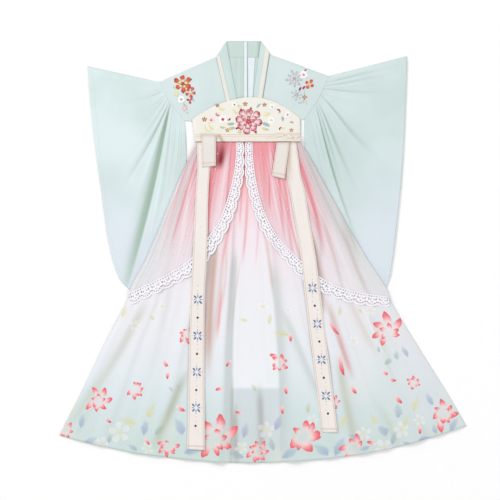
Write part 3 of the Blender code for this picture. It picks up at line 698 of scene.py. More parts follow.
cream_thread = sewing_thread("cream_thread", seen(214, 206, 196), seen(228, 221, 212))
mint_band = mint_chiffon("mint_chiffon_band", seen(198, 217, 214), seen(206, 222, 220))
band("collar_left", "neck_band_left", Rows(EDGES, (0, -118, 39, -95, 3), (1, -90, 158, -67, 156)),
     0.9, mint_band, 1.2, across=14, swell=0.9, deep=0.12, cool=0.0, flat=(0.026, 0.15),
     rests_on=["blouse_back"])
band("collar_right", "neck_band_right", Rows(EDGES, (0, -5, 1, 14, 27), (1, -26, 156, -6, 158)),
     0.9, mint_band, 1.2, across=14, swell=0.9, deep=0.0, cool=0.0, flat=(0.022, 0.15),
     rests_on=["blouse_back"])
band("strip_left", "neck_strip_left", Rows(EDGES, (0, -121, 42, -112, 35), (1, -95, 158, -84, 157)),
     0.8, cream, 2.6, swell=0.6, slot="cream_band", flat=(0.0115, 0.12), rests_on=["collar_left"],
     sew=cream_thread)
band("strip_right", "neck_strip_right", Rows(EDGES, (0, 7, 17, 17, 31), (1, -14, 157, -3, 158)),
     0.8, cream, 2.6, swell=0.6, slot="cream_band", flat=(0.0125, 0.135), rests_on=["collar_right"],
     sew=cream_thread)


# Skirt. Flared panels of thin chiffon, gathered into the waist over an opaque white lining that
# ends above the hem. It is rose at the waist and pales to white, then mint at the hem.
HEM = Rows("across down", (0, 1025), (0.10, 1050), (0.22, 1075), (0.42, 1096), (0.62, 1088),
           (0.78, 1062), (0.92, 1025), (1, 1000))
WAIST = 263.0
SLEEVE_LIFT = 2.7
LINING_SHARE = 0.765
SKIRT_FOLDS = Rows(
    "top hem breadth height start end",
    (0.055, 0.045, 0.022, 2.0, 420, 1200), (0.105, 0.110, 0.026, 3.4, 300, 1200),
    (0.190, 0.185, 0.024, 2.4, 480, 1200), (0.240, 0.245, 0.028, 3.6, 280, 1200),
    (0.320, 0.315, 0.024, 2.6, 380, 1200), (0.385, 0.388, 0.020, 6.5, 265, 1250),
    (0.440, 0.450, 0.020, 1.0, 560, 1200), (0.510, 0.505, 0.018, 1.0, 640, 1200),
    (0.570, 0.560, 0.020, 6.0, 265, 1250), (0.655, 0.645, 0.022, 2.6, 420, 1200),
    (0.715, 0.715, 0.026, 3.8, 300, 1200), (0.790, 0.785, 0.022, 2.8, 360, 1200),
    (0.845, 0.850, 0.026, 3.4, 280, 1200), (0.920, 0.918, 0.020, 2.0, 460, 1200),
    (0.965, 0.968, 0.016, 1.4, 400, 1200))
# Creases between the folds, each through three places on its line: half breadth, height, how much steeper its
# right side is, the share of its tone in the cloth's colour, and that tone. The tones are painted light:
# shade of tan, grey, moss, rose, wine and dusk in the troughs, and a pale highlight on the ridges.
CREASE_NAMES = "down_a x_a down_b x_b down_c x_c breadth height lean share tone"
TAN_SHADE, GREY_SHADE, MOSS_SHADE, ROSE_SHADE, WINE_SHADOW, PALE_HIGHLIGHT, DUSK_SHADE = range(7)
PAINTED_LIGHT_TONES = [seen(202, 174, 164), seen(184, 192, 190), seen(178, 182, 158), seen(230, 124, 134),
         seen(148, 42, 52), seen(250, 238, 243), seen(166, 166, 160)]
SKIRT_CREASES = Rows(
    CREASE_NAMES,
    (530, -122, 673, -134, 829, -140, 17, -2.5, 1.4, 1.00, TAN_SHADE),
    (569, -102, 673, -115, 777, -128, 8, -1.4, 1.0, 0.45, TAN_SHADE),
    (640, -106, 690, -111, 760, -118, 5, -0.8, 1.0, 0.70, ROSE_SHADE),
    (549, -68, 888, -82, 1087, -78, 10, -2.6, 1.8, 0.70, GREY_SHADE),
    (950, -72, 1030, -72, 1094, -68, 11, -1.0, 1.0, 0.75, DUSK_SHADE),
    (582, 21, 888, 46, 1092, 50, 13, -2.2, 0.5, 0.60, GREY_SHADE),
    (350, -52, 400, -55, 470, -60, 4, -0.8, 1.0, 0.50, ROSE_SHADE),
    (400, -40, 470, -43, 560, -51, 5, -0.8, 1.0, 0.55, ROSE_SHADE),
    (455, -79, 506, -92, 580, -106, 6, -0.8, 1.0, 0.50, ROSE_SHADE),
    (515, -95, 600, -96, 690, -106, 4, -0.8, 1.0, 0.45, TAN_SHADE),
    (575, -60, 650, -70, 740, -80, 4, -0.8, 1.0, 0.45, TAN_SHADE),
    (430, -8, 500, -12, 570, -18, 4, -0.6, 1.0, 0.25, ROSE_SHADE),
    (500, 6, 577, 17, 650, 26, 6, -0.8, 1.0, 0.50, TAN_SHADE),
    (590, 138, 640, 148, 700, 160, 13, -1.5, 1.0, 0.55, TAN_SHADE),
    (680, 168, 765, 194, 860, 226, 11, -2.2, 0.7, 0.70, TAN_SHADE),
    (750, 193, 800, 208, 856, 228, 6, -0.8, 1.0, 0.45, ROSE_SHADE),
    (689, 260, 787, 302, 866, 346, 4, 0.9, 1.0, 0.60, PALE_HIGHLIGHT),
    (880, -79, 990, -81, 1092, -84, 4, -1.2, 1.0, 0.60, DUSK_SHADE),
    (642, 213, 725, 252, 803, 291, 12, -1.4, 1.8, 0.32, TAN_SHADE),
    (681, -301, 829, -385, 985, -489, 22, -1.8, 1.2, 0.38, MOSS_SHADE),
    (863, -200, 954, -238, 1045, -278, 17, -1.6, 1.0, 0.72, MOSS_SHADE),
    (830, 196, 940, 216, 1050, 240, 17, -2.2, 0.8, 0.55, MOSS_SHADE),
    (702, 55, 816, 102, 926, 148, 15, -1.8, 1.3, 0.50, GREY_SHADE),
    (694, 270, 785, 306, 874, 337, 13, -1.2, 0.6, 0.30, GREY_SHADE),
    (905, -8, 1011, -4, 1095, -2, 12, -2.0, 1.0, 0.70, DUSK_SHADE),
    (620, -238, 760, -262, 900, -300, 14, -1.2, 1.0, 0.20, GREY_SHADE),
    (940, 300, 1000, 330, 1060, 352, 14, -1.2, 1.0, 0.30, MOSS_SHADE),
    (900, -420, 970, -455, 1040, -490, 14, -1.0, 1.0, 0.28, GREY_SHADE),
    (980, 402, 1010, 416, 1040, 428, 14, -1.0, 1.0, 0.30, GREY_SHADE))


def skirt_x(across, down):
    return mix(SKIRT_SIDES.read("left", down), SKIRT_SIDES.read("right", down), across)


def lift(across, down):
    """Height of the skirt's sides over the tucked sleeves."""
    inward = np.minimum(across, 1.0 - across)
    return SLEEVE_LIFT * (1.0 - smooth((inward - 0.15) / 0.17)) * (1.0 - smooth((down - 680.0) / 250.0))


def lining_down(across):
    return WAIST + (HEM.read("down", across) - WAIST) * LINING_SHARE


def crease_shapes(creases, x, down):
    """Each row of a table of creases with its strength at every point, from 0 to 1."""
    for row in creases.values.T:
        c = dict(zip(creases.names, row))
        a, b, d = c["down_a"], c["down_b"], c["down_c"]
        line = (c["x_a"] * (down - b) * (down - d) / ((a - b) * (a - d))
                + c["x_b"] * (down - a) * (down - d) / ((b - a) * (b - d))
                + c["x_c"] * (down - a) * (down - b) / ((d - a) * (d - b)))
        t = (x - line) / c["breadth"]
        t = np.where(t > 0, t * c["lean"], t / c["lean"])
        run = d - a
        ends = smooth((down - a + 25.0) / 70.0) * (1.0 - smooth((down - d + 0.25 * run) / (0.5 * run)))
        yield c, np.exp(-2.0 * t * t) * ends


def skirt_folds(across, down):
    total = np.zeros_like(across)
    for n, row in enumerate(SKIRT_FOLDS.values.T):
        top, hem, breadth, height, start, end = row
        far = (down - WAIST) / (LENGTH - WAIST)
        middle = mix(top, hem, far) + 0.004 * np.sin(5.0 * far + 1.7 * n)
        t = (across - middle) / (breadth * mix(0.8, 1.1, far))
        lean = 1.5 if n % 2 else 0.7
        t = np.where(t > 0, t * lean, t / lean)
        grown = mix(0.12, 1.0, smooth((down - start) / 420.0))
        total += height * np.exp(-2.0 * t * t) * grown
    far = np.clip((down - WAIST) / 800.0, 0.0, 1.0)
    fine = np.sin(83.0 * across + 2.2 * np.sin(9.0 * across + 2.0 * far) + 0.8 * far)
    fine += 0.7 * np.sin(141.0 * across + 1.3 * np.sin(13.0 * across) - 1.1 * far)
    x = skirt_x(across, down)
    for crease, shape in crease_shapes(SKIRT_CREASES, x, down):
        total += crease["height"] * shape
    return total + 0.35 * fine * (0.5 + 0.5 * far)


def front_level(across, down):
    edge = smooth(np.minimum(across, 1.0 - across) / 0.03)
    over = edge * (1.0 - smooth((down - lining_down(across) - 10.0) / 90.0))
    rim = smooth(np.minimum(across, 1.0 - across) / 0.015)
    return lift(across, down) + 1.2 + 1.3 * over + np.maximum(1.6 + skirt_folds(across, down), 0.0) * rim


def flared(columns, rows, first=0.0, last=1.0, share=1.0):
    """Grid over the skirt's fan, whose lowest row is the hem or a share of the way to it."""
    across, v = grid(mix(first, last, steps(columns)), steps(rows))
    end = WAIST + (HEM.read("down", across) - WAIST) * share
    return across, mix(WAIST, end, v)


# Dye of the chiffon down its middle panel and down each side, as it looks.
MIDDLE_DYE = Rows("down red green blue", (263, 232, 120, 130), (345, 238, 160, 164),
                  (387, 241, 192, 197), (430, 240, 213, 220), (500, 238, 226, 232),
                  (560, 236, 230, 236), (640, 234, 233, 238), (899, 233, 236, 240),
                  (906, 208, 217, 221), (1000, 204, 213, 215), (1096, 204, 214, 211))
SIDE_DYE = Rows("down red green blue", (263, 236, 150, 160), (380, 237, 180, 188),
                (480, 236, 212, 219), (560, 235, 224, 229), (660, 232, 230, 235),
                (760, 230, 231, 236), (860, 223, 229, 234), (960, 209, 222, 223),
                (1040, 201, 217, 214), (1100, 201, 217, 212))
SIDE_VEIL = Rows("down red green blue", (263, 214, 200, 204), (420, 214, 214, 216),
                 (560, 226, 226, 228), (640, 233, 236, 238), (1100, 230, 234, 236))


def dyed(rows, down):
    """Colours of a table of dye at every point, run into one another."""
    return np.stack([np.interp(down, rows.values[0], channel) for channel in
                     seen(*rows.values[1:])], -1)


def skirt_ground(across, down):
    x = skirt_x(across, down)
    left = np.interp(down, (263, 345, 549, 888, 1096), (-58, -62, -70, -85, -93))
    right = np.interp(down, (263, 345, 582, 888, 1096), (-38, -36, 21, 46, 50))
    middle = smooth((x - left + 3.0) / 6.0) * smooth((right + 5.0 - x) / 12.0)
    colour = mix(dyed(SIDE_DYE, down), dyed(MIDDLE_DYE, down), middle[..., None])
    side = smooth(1.0 - np.minimum(across, 1.0 - across) / 0.09) * (1.0 - smooth((down - 560.0) / 160.0))
    colour = mix(colour, dyed(SIDE_VEIL, down), 0.8 * side[..., None])
    # Painted shade: the skirt greys towards its right side, away from the key lamp.
    right_side_shade = smooth((x - 120.0) / 260.0) * 0.30
    colour = mix(colour, seen(206, 208, 208), right_side_shade[..., None])
    # Painted shade in the creases' troughs and painted highlight on their ridges, in their tones.
    for crease, shape in crease_shapes(SKIRT_CREASES, x, down):
        colour = mix(colour, PAINTED_LIGHT_TONES[int(crease["tone"])], (crease["share"] * shape)[..., None])
    return colour


def motifs(table, x, down, reach=7.0):
    """Place within the nearest of a table's motifs, in its own size and turn, at every point, and
    whether the point is on that motif's own ground and no other's."""
    own = np.full(x.shape, 1e9)
    second = np.full(x.shape, 1e9)
    local = np.zeros(x.shape + (3,))
    for row in table.values.T:
        m = dict(zip(table.names, row))
        dx, dd = x - m["x"], down - m["down"]
        gap = np.hypot(dx, dd) - m["size"]
        closer = gap < own
        second = np.where(closer, own, np.minimum(second, gap))
        own = np.where(closer, gap, own)
        turn = math.radians(m["turn"])
        here = np.stack([(dx * math.cos(turn) + dd * math.sin(turn)) / m["size"],
                         (dd * math.cos(turn) - dx * math.sin(turn)) / m["size"],
                         np.full(x.shape, m["kind"])], -1)
        local = np.where(closer[..., None], here, local)
    return local, ((own < reach) & (second - own > reach + 1.0)).astype(float)


# Print: common garden flowers, loose petals, leaves and pale outlined blossoms, in a layout of
# this dress's own, thickest towards the hem. Turn is in degrees; kind shapes and tints a motif.
MOTIF = "x down size turn kind"
PRINTED_FLOWERS = Rows(
    MOTIF,
    (-122, 1034, 72, 20, 3), (-246, 1054, 42, 140, 7), (104, 1026, 76, 250, 11),
    (238, 1058, 44, 70, 5), (324, 758, 58, 310, 9), (470, 968, 52, 200, 4), (182, 940, 30, 30, 8),
    (-428, 935, 44, 90, 2), (42, 838, 42, 120, 6), (-14, 1066, 38, 200, 12), (-330, 905, 32, 40, 14),
    (392, 890, 28, 0, 15), (-515, 1012, 30, 0, 17), (-196, 762, 30, 130, 21))
PRINTED_PETALS = Rows(
    MOTIF,
    (-252, 838, 13, 60, 1), (-246, 868, 11, 100, 2), (-214, 955, 14, 30, 3), (-470, 862, 12, 300, 1),
    (-456, 840, 13, 130, 3), (-402, 985, 11, 40, 2),
    (-112, 905, 12, 170, 1), (-62, 968, 11, 200, 2), (60, 905, 13, 80, 3), (74, 770, 12, 100, 1),
    (52, 958, 12, 95, 2), (184, 742, 27, 58, 6), (206, 838, 34, 80, 6), (236, 905, 14, 60, 1),
    (318, 862, 12, 30, 2), (336, 880, 11, 15, 1), (352, 930, 15, 50, 3), (296, 668, 11, 10, 2),
    (-300, 1040, 11, 60, 2), (410, 1010, 12, 100, 1), (-88, 838, 11, 130, 1),
    (282, 1046, 13, 200, 2))
PRINTED_LEAVES = Rows(
    MOTIF,
    (-216, 1002, 34, 60, 0.1), (-184, 1020, 26, 110, 0.0), (-268, 1010, 22, 130, 0.5),
    (-236, 905, 15, 20, 0.3), (-222, 900, 13, 150, 0.4), (-168, 868, 22, 310, 0.3),
    (-290, 960, 30, 120, 0.9), (-340, 1056, 18, 30, 0.2), (-398, 1032, 16, 100, 0.4),
    (-470, 985, 24, 100, 0.1), (-498, 955, 30, 130, 0.9), (-440, 1012, 15, 70, 0.9),
    (-360, 700, 22, 110, 1.0), (-290, 718, 12, 40, 1.0), (-46, 1010, 26, 100, 0.2),
    (22, 1046, 22, 70, 0.3), (40, 990, 26, 110, 0.1), (-24, 900, 14, 60, 0.8), (18, 720, 18, 95, 1.0),
    (44, 760, 26, 10, 1.0), (-52, 725, 14, 10, 1.0), (160, 1000, 22, 60, 0.5), (236, 1030, 24, 20, 0.1),
    (262, 1060, 18, 340, 0.2), (312, 1012, 30, 40, 0.1), (340, 1030, 22, 100, 0.3),
    (346, 818, 22, 100, 0.3), (368, 806, 20, 60, 0.2), (330, 830, 20, 140, 0.6),
    (300, 800, 12, 80, 0.4), (398, 940, 26, 110, 0.9), (432, 930, 22, 60, 0.1), (372, 985, 20, 100, 0.9),
    (446, 1010, 20, 80, 0.1), (372, 1046, 16, 30, 0.2), (200, 700, 16, 100, 1.0), (250, 700, 12, 40, 0.9),
    (150, 905, 20, 70, 0.9), (118, 952, 18, 100, 0.8), (-178, 1062, 32, 160, 0.1),
    (-70, 1076, 24, 20, 0.3), (72, 1070, 30, 150, 0.1), (152, 1062, 32, 30, 0.2), (200, 1052, 34, 120, 0.1),
    (208, 992, 26, 300, 0.9), (288, 984, 26, 60, 0.9), (-352, 988, 30, 20, 0.9), (-448, 1040, 26, 150, 0.1),
    (-306, 1002, 26, 100, 0.1), (352, 962, 28, 80, 0.3), (424, 1034, 24, 170, 0.1), (496, 996, 24, 120, 0.1))
PRINTED_BLOSSOMS = Rows(
    MOTIF,
    (-372, 1016, 34, 10, 1), (-418, 1046, 22, 40, 2), (-300, 1058, 20, 70, 3), (-262, 690, 16, 0, 2),
    (-332, 740, 20, 30, 3), (10, 1010, 26, 20, 1), (-56, 1058, 20, 60, 2), (0, 690, 22, 45, 3),
    (130, 985, 18, 30, 1), (280, 700, 18, 20, 2), (262, 1020, 24, 10, 3), (316, 1058, 30, 50, 1),
    (360, 1010, 26, 5, 2), (236, 780, 18, 50, 1), (-190, 690, 14, 20, 3), (406, 985, 20, 70, 3),
    (-500, 930, 18, 30, 1), (66, 700, 14, 0, 2))
CORAL = seen(231, 98, 110)
CORAL_PALE = seen(250, 216, 214)


def motif_place(finish, name, wobble=0.14):
    """x, y and kind within a motif, its outline loosened like a brush's, and its own ground."""
    drift = finish.noise(finish.place(), 90.0, 3.0).other("Color")
    drift = finish.node("ShaderNodeVectorMath", {"operation": "SUBTRACT"}, drift, (0.5, 0.5, 0.5))
    drift = finish.stretch(drift, wobble, wobble, 0.0)
    local = finish.node("ShaderNodeAttribute", {"attribute_name": name}, output="Vector")
    local = finish.node("ShaderNodeVectorMath", {"operation": "ADD"}, local, drift)
    apart = finish.node("ShaderNodeSeparateXYZ", None, local)
    return apart, apart.other("Y"), apart.other("Z"), finish.mark(name + "_own").rise(0.99, 1.0)


def rosette(finish, x, y, kind, petals, shortest, size, tip, missing=0.0, swirl=0.0):
    """Ring of petals: whether a point is in one, its share of the way out, and of the way to the
    petal's side. A share of the petals is missing, and the ring may turn as it goes out."""
    out = (x * x + y * y).take("SQRT") / size
    turn = y.take("ARCTAN2", x) * (petals / (2.0 * math.pi)) + out * swirl + size
    side = (turn.take("FRACT") - 0.5).take("ABSOLUTE")
    number = turn.take("FLOOR").take("FLOORED_MODULO", float(petals))
    chance = finish.node("ShaderNodeTexWhiteNoise", {"noise_dimensions": "2D"},
                         finish.join(number, kind.take("ROUND") + size))
    out = out / (chance * (1.0 - shortest) + shortest)
    reach = ((1.0 - out ** tip) * 0.47).most(0.001)
    shown = (chance * 7.0).take("FRACT").take("GREATER_THAN", missing)
    return (reach - side).rise(0.0, 0.05) * (1.0 - out).rise(0.0, 0.04) * shown, out, side / reach


def print_motifs(finish, base):
    """The print over a base colour."""
    where = finish.place()
    apart = finish.node("ShaderNodeSeparateXYZ", None, where)
    low = 1.0 - apart.other("Y").rise(-0.55, -0.05)
    for scale, hue, strength in ((5.0, seen(247, 243, 214), 0.30), (6.5, seen(226, 222, 242), 0.35),
                                 (4.2, seen(192, 224, 216), 0.45)):
        drift = finish.noise(finish.stretch(where, scale, scale * 0.7), 1.0, 2.0)
        base = finish.blend(drift.rise(0.52, 0.72) * low * strength, base, hue)

    x, y, kind, own = motif_place(finish, "blossom")
    inside, out, side = rosette(finish, x, y, kind, 5, 0.8, 1.0, 4.0)
    line = (1.0 - (out - 0.93).take("ABSOLUTE").rise(0.01, 0.08)).most((side - 0.80).rise(0.0, 0.12) * 0.8)
    base = finish.blend(inside * own * (0.15 + 0.3 * out), base, seen(244, 240, 238))
    base = finish.blend(inside * own * line * 0.42, base, seen(190, 180, 172))
    base = finish.blend((1.0 - out.rise(0.08, 0.36)) * own * 0.5, base, seen(220, 214, 146))

    x, y, kind, own = motif_place(finish, "leaf", 0.22)
    width = ((1.0 - x * x) * (1.0 + x * 0.35)).most(0.0) * 0.46
    inside = (width - y.take("ABSOLUTE")).rise(0.0, 0.3)
    hue = finish.blend(kind.rise(0.15, 0.45), seen(150, 168, 200), seen(154, 182, 176))
    hue = finish.blend(kind.rise(0.7, 0.9), hue, seen(220, 212, 158))
    vein = 1.0 - y.take("ABSOLUTE").rise(0.01, 0.06)
    hue = finish.blend(vein * 0.25, hue, seen(120, 140, 150))
    base = finish.blend(inside * own * (0.18 + 0.66 * (x * 0.5 + 0.5)), base, hue)

    x, y, kind, own = motif_place(finish, "flower")
    for petals, shortest, size, tip, missing in ((7, 0.5, 1.0, 3.0, 0.22), (5, 0.55, 0.66, 3.0, 0.15)):
        inside, out, side = rosette(finish, x, y, kind, petals, shortest, size, tip, missing, 0.5)
        strength = (out * 1.25 + side * 0.1 - 0.45).rise(0.0, 0.75)
        hue = finish.blend(strength, CORAL_PALE, CORAL)
        hue = finish.blend((out - 0.88).rise(0.0, 0.12) * 0.4, hue, seen(205, 60, 80))
        base = finish.blend(inside * own * (0.05 + 0.95 * out.rise(0.2, 0.75)), base, hue)

    x, y, kind, own = motif_place(finish, "petal")
    y = y - (1.0 - x * x) * 0.12
    width = (1.0 - x).most(0.0) ** 0.7 * (1.0 + x).most(0.0) * mix(0.36, 0.17, kind.rise(4.0, 5.0))
    inside = (width - y.take("ABSOLUTE")).rise(0.0, 0.05)
    hue = finish.blend((x * 0.5 + 0.5).rise(0.05, 0.9), CORAL_PALE, CORAL)
    return finish.blend(inside * own, base, finish.blend((x - 0.6).rise(0.0, 0.3) * 0.6, hue,
                                                         seen(190, 44, 66)))


def printed(name):
    finish = Finish(name, roughness=0.85, sheen=0.1)
    finish.into("Base Color", print_motifs(finish, finish.tint("ground")))
    return weave_bump(finish, 0.8, 0.2)


def print_marks(x, down, reach):
    marks = {}
    for name, table in (("flower", PRINTED_FLOWERS), ("petal", PRINTED_PETALS), ("leaf", PRINTED_LEAVES),
                        ("blossom", PRINTED_BLOSSOMS)):
        marks[name], marks[name + "_own"] = motifs(table, x, down, reach)
    return marks


plain_lining = Finish("white_lining", roughness=0.85)
lining_tone = plain_lining.noise(plain_lining.place(), 12.0)
plain_lining.into("Base Color", plain_lining.blend(lining_tone, (0.88, 0.89, 0.92), (0.93, 0.94, 0.96)))
weave_bump(plain_lining, 0.8, 0.3)

across, down = flared(150, 95)
x = skirt_x(across, down)
skirt_back = lay("skirt_back_cloth", x, down, lift(across, down) + 0.2, printed("printed_chiffon_back"), 0.6,
                 ground=skirt_ground(across, down), **print_marks(-x, down, 10.0))
settle(skirt_back, "skirt_back", (1.10, 0.84), 0.62)
across, down = flared(60, 50, 0.03, 0.97, LINING_SHARE)
lining = lay("lining", skirt_x(across, down), down, lift(across, down) + 1.2, plain_lining, 0.6)
settle(lining, "skirt_lining", (0.85, 0.64), 0.36)
across, down = flared(280, 170)
x = skirt_x(across, down)
to_hem = HEM.read("down", across) - down
turned = smooth((7.0 - to_hem) / 2.0)
skirt_front = lay("skirt_front_cloth", x, down, front_level(across, down), printed("printed_chiffon"),
                  WALL + 0.35 * turned, ground=skirt_ground(across, down), **print_marks(x, down, 7.0))
settle(skirt_front, "skirt_front", (1.20, 0.84), 0.66)
sewn("hem_stitches", [line_at(to_hem, 7.0, x, down, front_level(across, down) + WALL + 0.35 * turned)],
     mint_thread)


# Overskirt. Two short pieces of sheer pink tulle, drawn up into dozens of fine gathers at the
# waist, which part at the centre and fade to white before the lace on their edges.
LEFT_TULLE = Rows("across down", (0, 667), (0.09, 639), (0.22, 590), (0.30, 533), (0.37, 461),
                  (0.417, 383), (0.450, 330))
RIGHT_TULLE = Rows("across down", (0.467, 330), (0.50, 410), (0.56, 492), (0.63, 555), (0.717, 615),
                   (0.85, 664), (1, 672))
TULLE_DYE = Rows("down red green blue", (263, 243, 164, 174), (330, 245, 180, 188),
                 (400, 245, 200, 207), (470, 243, 218, 225), (540, 240, 228, 234),
                 (620, 239, 234, 239), (700, 240, 238, 242))
TULLE_VEIL = Rows("down red green blue", (263, 226, 210, 214), (420, 222, 223, 224),
                  (560, 230, 233, 234), (700, 236, 238, 240))
# Creases of the tulle: painted shade in their troughs, with a dark wine shadow near the waist, and painted
# highlight on their ridges.
TULLE_CREASES = Rows(
    CREASE_NAMES,
    (262, -105, 292, -107, 326, -112, 19, -0.8, 1.0, 1.00, WINE_SHADOW),
    (275, -118, 385, -135, 560, -148, 8, -1.0, 1.0, 0.70, ROSE_SHADE),
    (283, -90, 387, -106, 520, -128, 10, 1.2, 1.0, 0.60, PALE_HIGHLIGHT),
    (300, -82, 400, -90, 480, -104, 4, -0.8, 1.0, 0.30, ROSE_SHADE),
    (270, -184, 361, -212, 500, -252, 7, -1.0, 1.0, 0.50, ROSE_SHADE),
    (300, -200, 420, -232, 580, -276, 8, 1.2, 1.0, 0.60, PALE_HIGHLIGHT),
    (330, -186, 430, -198, 560, -216, 8, 0.8, 1.0, 0.60, PALE_HIGHLIGHT),
    (298, -171, 373, -193, 515, -234, 5, -0.8, 1.0, 0.60, ROSE_SHADE),
    (332, -136, 408, -139, 470, -143, 4, -0.8, 1.0, 0.70, ROSE_SHADE),
    (340, 17, 390, 17, 430, 18, 3, -0.8, 1.0, 0.70, ROSE_SHADE),
    (380, 63, 420, 66, 560, 97, 5, -0.8, 1.0, 0.60, ROSE_SHADE),
    (433, 116, 500, 145, 562, 151, 6, -0.8, 1.0, 0.45, GREY_SHADE),
    (268, 2, 350, 4, 430, 12, 8, -1.0, 1.0, 0.25, ROSE_SHADE),
    (268, 18, 350, 24, 450, 38, 5, 1.0, 1.0, 0.50, PALE_HIGHLIGHT),
    (268, 34, 360, 42, 500, 54, 6, -1.2, 1.0, 0.50, ROSE_SHADE),
    (340, 54, 450, 64, 560, 78, 7, -1.2, 1.0, 0.40, ROSE_SHADE),
    (330, 62, 430, 72, 540, 92, 6, 1.0, 1.0, 0.55, PALE_HIGHLIGHT),
    (276, 80, 396, 122, 515, 152, 8, -1.2, 1.0, 0.75, ROSE_SHADE),
    (290, 108, 413, 162, 540, 224, 7, -1.0, 1.0, 0.40, GREY_SHADE),
    (330, 160, 420, 198, 540, 240, 12, -0.8, 1.0, 0.40, MOSS_SHADE),
    (500, 128, 590, 146, 672, 164, 12, -1.0, 1.0, 0.75, TAN_SHADE),
    (452, 152, 543, 180, 640, 206, 8, -1.0, 1.0, 0.38, TAN_SHADE),
    (480, 178, 560, 206, 650, 240, 8, 1.2, 1.0, 0.50, PALE_HIGHLIGHT),
    (480, 206, 560, 232, 660, 274, 9, -1.0, 1.0, 0.40, TAN_SHADE))
tulle = Finish("pink_tulle", roughness=0.9, sheen=0.05)
tulle.into("Base Color", tulle.tint("ground"))
tulle.into("Alpha", tulle.mark("cover"))
mesh_where = tulle.stretch(tulle.place(), 1400.0, 1400.0)
tulle.into("Normal", tulle.bump(tulle.noise(mesh_where, 1.0, 1.0), 0.3, 0.1 * MM))


def tulle_gathers(across, down):
    """Height of the fine gathers, below 2 mm, and how far into one a point is."""
    far = np.clip((down - WAIST) / 420.0, 0.0, 1.0)
    phase = 330.0 * across + 3.0 * np.sin(31.0 * across) + 1.5 * np.sin(7.0 * across + 2.0 * far)
    wave = 0.5 + 0.5 * np.sin(phase)
    slow = 0.5 + 0.5 * np.sin(141.0 * across + 2.0 * np.sin(17.0 * across) + far)
    height = (0.75 * wave + 1.0 * slow) * mix(1.0, 0.45, smooth(far)) * mix(0.5, 1.0, smooth(far / 0.06))
    return height, 1.0 - (0.6 * wave + 0.4 * slow)


for side, edge, first, last in (("left", LEFT_TULLE, 0.0, 0.452), ("right", RIGHT_TULLE, 0.460, 1.0)):
    across, v = grid(mix(first, last, steps(260)), steps(80))
    down = mix(WAIST, edge.read("down", across), v)
    x = skirt_x(across, down)
    gathered, deep = tulle_gathers(across, down)
    height = front_level(across, down) + WALL + 0.6 + gathered
    colour = dyed(TULLE_DYE, down)
    outer = np.minimum(across / 0.13, (1.0 - across) / 0.16)
    veil = 1.0 - smooth(outer - 0.15)
    colour = mix(colour, dyed(TULLE_VEIL, down), (0.9 * veil)[..., None])
    # Painted shade: deeper rose in the troughs of the gathers near the waist.
    rosy = deep * (1.0 - smooth((down - 300.0) / 380.0)) * (1.0 - veil)
    colour = mix(colour, PAINTED_LIGHT_TONES[ROSE_SHADE], (0.28 * rosy)[..., None])
    # Painted highlight: pale streaks along the fine gathers.
    streak = smooth(np.sin(211.0 * across + 4.0 * np.sin(19.0 * across)) - 0.25)
    colour = mix(colour, PAINTED_LIGHT_TONES[PALE_HIGHLIGHT], (0.30 * streak * smooth((down - 263.0) / 80.0))[..., None])
    # Painted shade and highlight along the creases.
    for crease, shape in crease_shapes(TULLE_CREASES, x, down):
        height += crease["height"] * shape * 0.6
        colour = mix(colour, PAINTED_LIGHT_TONES[int(crease["tone"])], (crease["share"] * shape)[..., None])
    made = lay(f"tulle_{side}", x, down, height, tulle, ground=colour, cover=0.88 - 0.10 * veil)
    settle(made, f"overskirt_{side}", (0.50, 0.43),
           0.08 if side == "left" else 0.105)


# Lace. White cotton trim, straight along its upper edge and scalloped below, sewn over the raw
# edge of each half of the overskirt. Its holes are worked in rows between raised sprigs and cords.
LACE_NAMES = "step head_x head_down edge_x edge_down"
LEFT_LACE = Rows(
    LACE_NAMES, (0, -70, 264, -48.6, 264), (1, -71, 309, -48.6, 322), (2, -79, 361, -51, 361),
    (3, -97, 425, -71, 441), (4, -119, 476, -92, 491), (5, -145, 513, -122, 543),
    (6, -172, 549, -151, 580), (7, -206, 580, -187, 611), (8, -268, 616, -254, 646),
    (9, -348, 655, -343, 687))
RIGHT_LACE = Rows(
    LACE_NAMES, (0, -27, 264, -47.4, 264), (1, -25, 309, -47.4, 322), (2, -18, 361, -44, 371),
    (3, -3, 424, -26, 437), (4, 20, 478, -5, 491), (5, 50, 522, 31, 540), (6, 92, 565, 68, 585),
    (7, 138, 606, 113, 630), (8, 194, 637, 170, 661), (9, 256, 654, 244, 685), (10, 326, 665, 330, 692))
SCALLOP = 30.0
SCALLOP_DEPTH = 5.0
LACE_WIDTH = 33.0
LACE_MARGIN = 3.0          # plain cloth below the last row of holes
LACE_COLUMNS = 26          # columns of points in one scallop
# Holes and raised threads in one scallop: places along it and across the lace, in millimetres
# from its middle and from its upper edge, with their sizes along and across.
HOLES = Rows("along over long wide", (-11, 4.5, 1.7, 1.6), (-4, 4.5, 1.3, 1.5), (4, 4.5, 1.3, 1.5),
             (11, 4.5, 1.7, 1.6), (-9.8, 11.4, 1.5, 2.4), (9.8, 11.4, 1.5, 2.4),
             (-4.2, 12.5, 1.1, 1.8), (4.2, 12.5, 1.1, 1.8), (-12.4, 19.8, 1.6, 1.4),
             (-7.6, 23.0, 1.6, 1.4), (-2.6, 24.8, 1.5, 1.3), (2.6, 24.8, 1.5, 1.3),
             (7.6, 23.0, 1.6, 1.4), (12.4, 19.8, 1.6, 1.4), (0, 18.2, 1.4, 1.4))
SPRIGS = Rows("along over long wide", (0, 14.5, 2.0, 4.2), (-6.6, 17.5, 3.6, 2.0), (6.6, 17.5, 3.6, 2.0),
              (-6.6, 8.5, 2.8, 1.8), (6.6, 8.5, 2.8, 1.8), (0, 21.5, 2.0, 2.0), (-14, 15, 1.8, 3.6),
              (14, 15, 1.8, 3.6))
lace_cotton = Finish("white_lace", roughness=0.9, sheen=0.1)
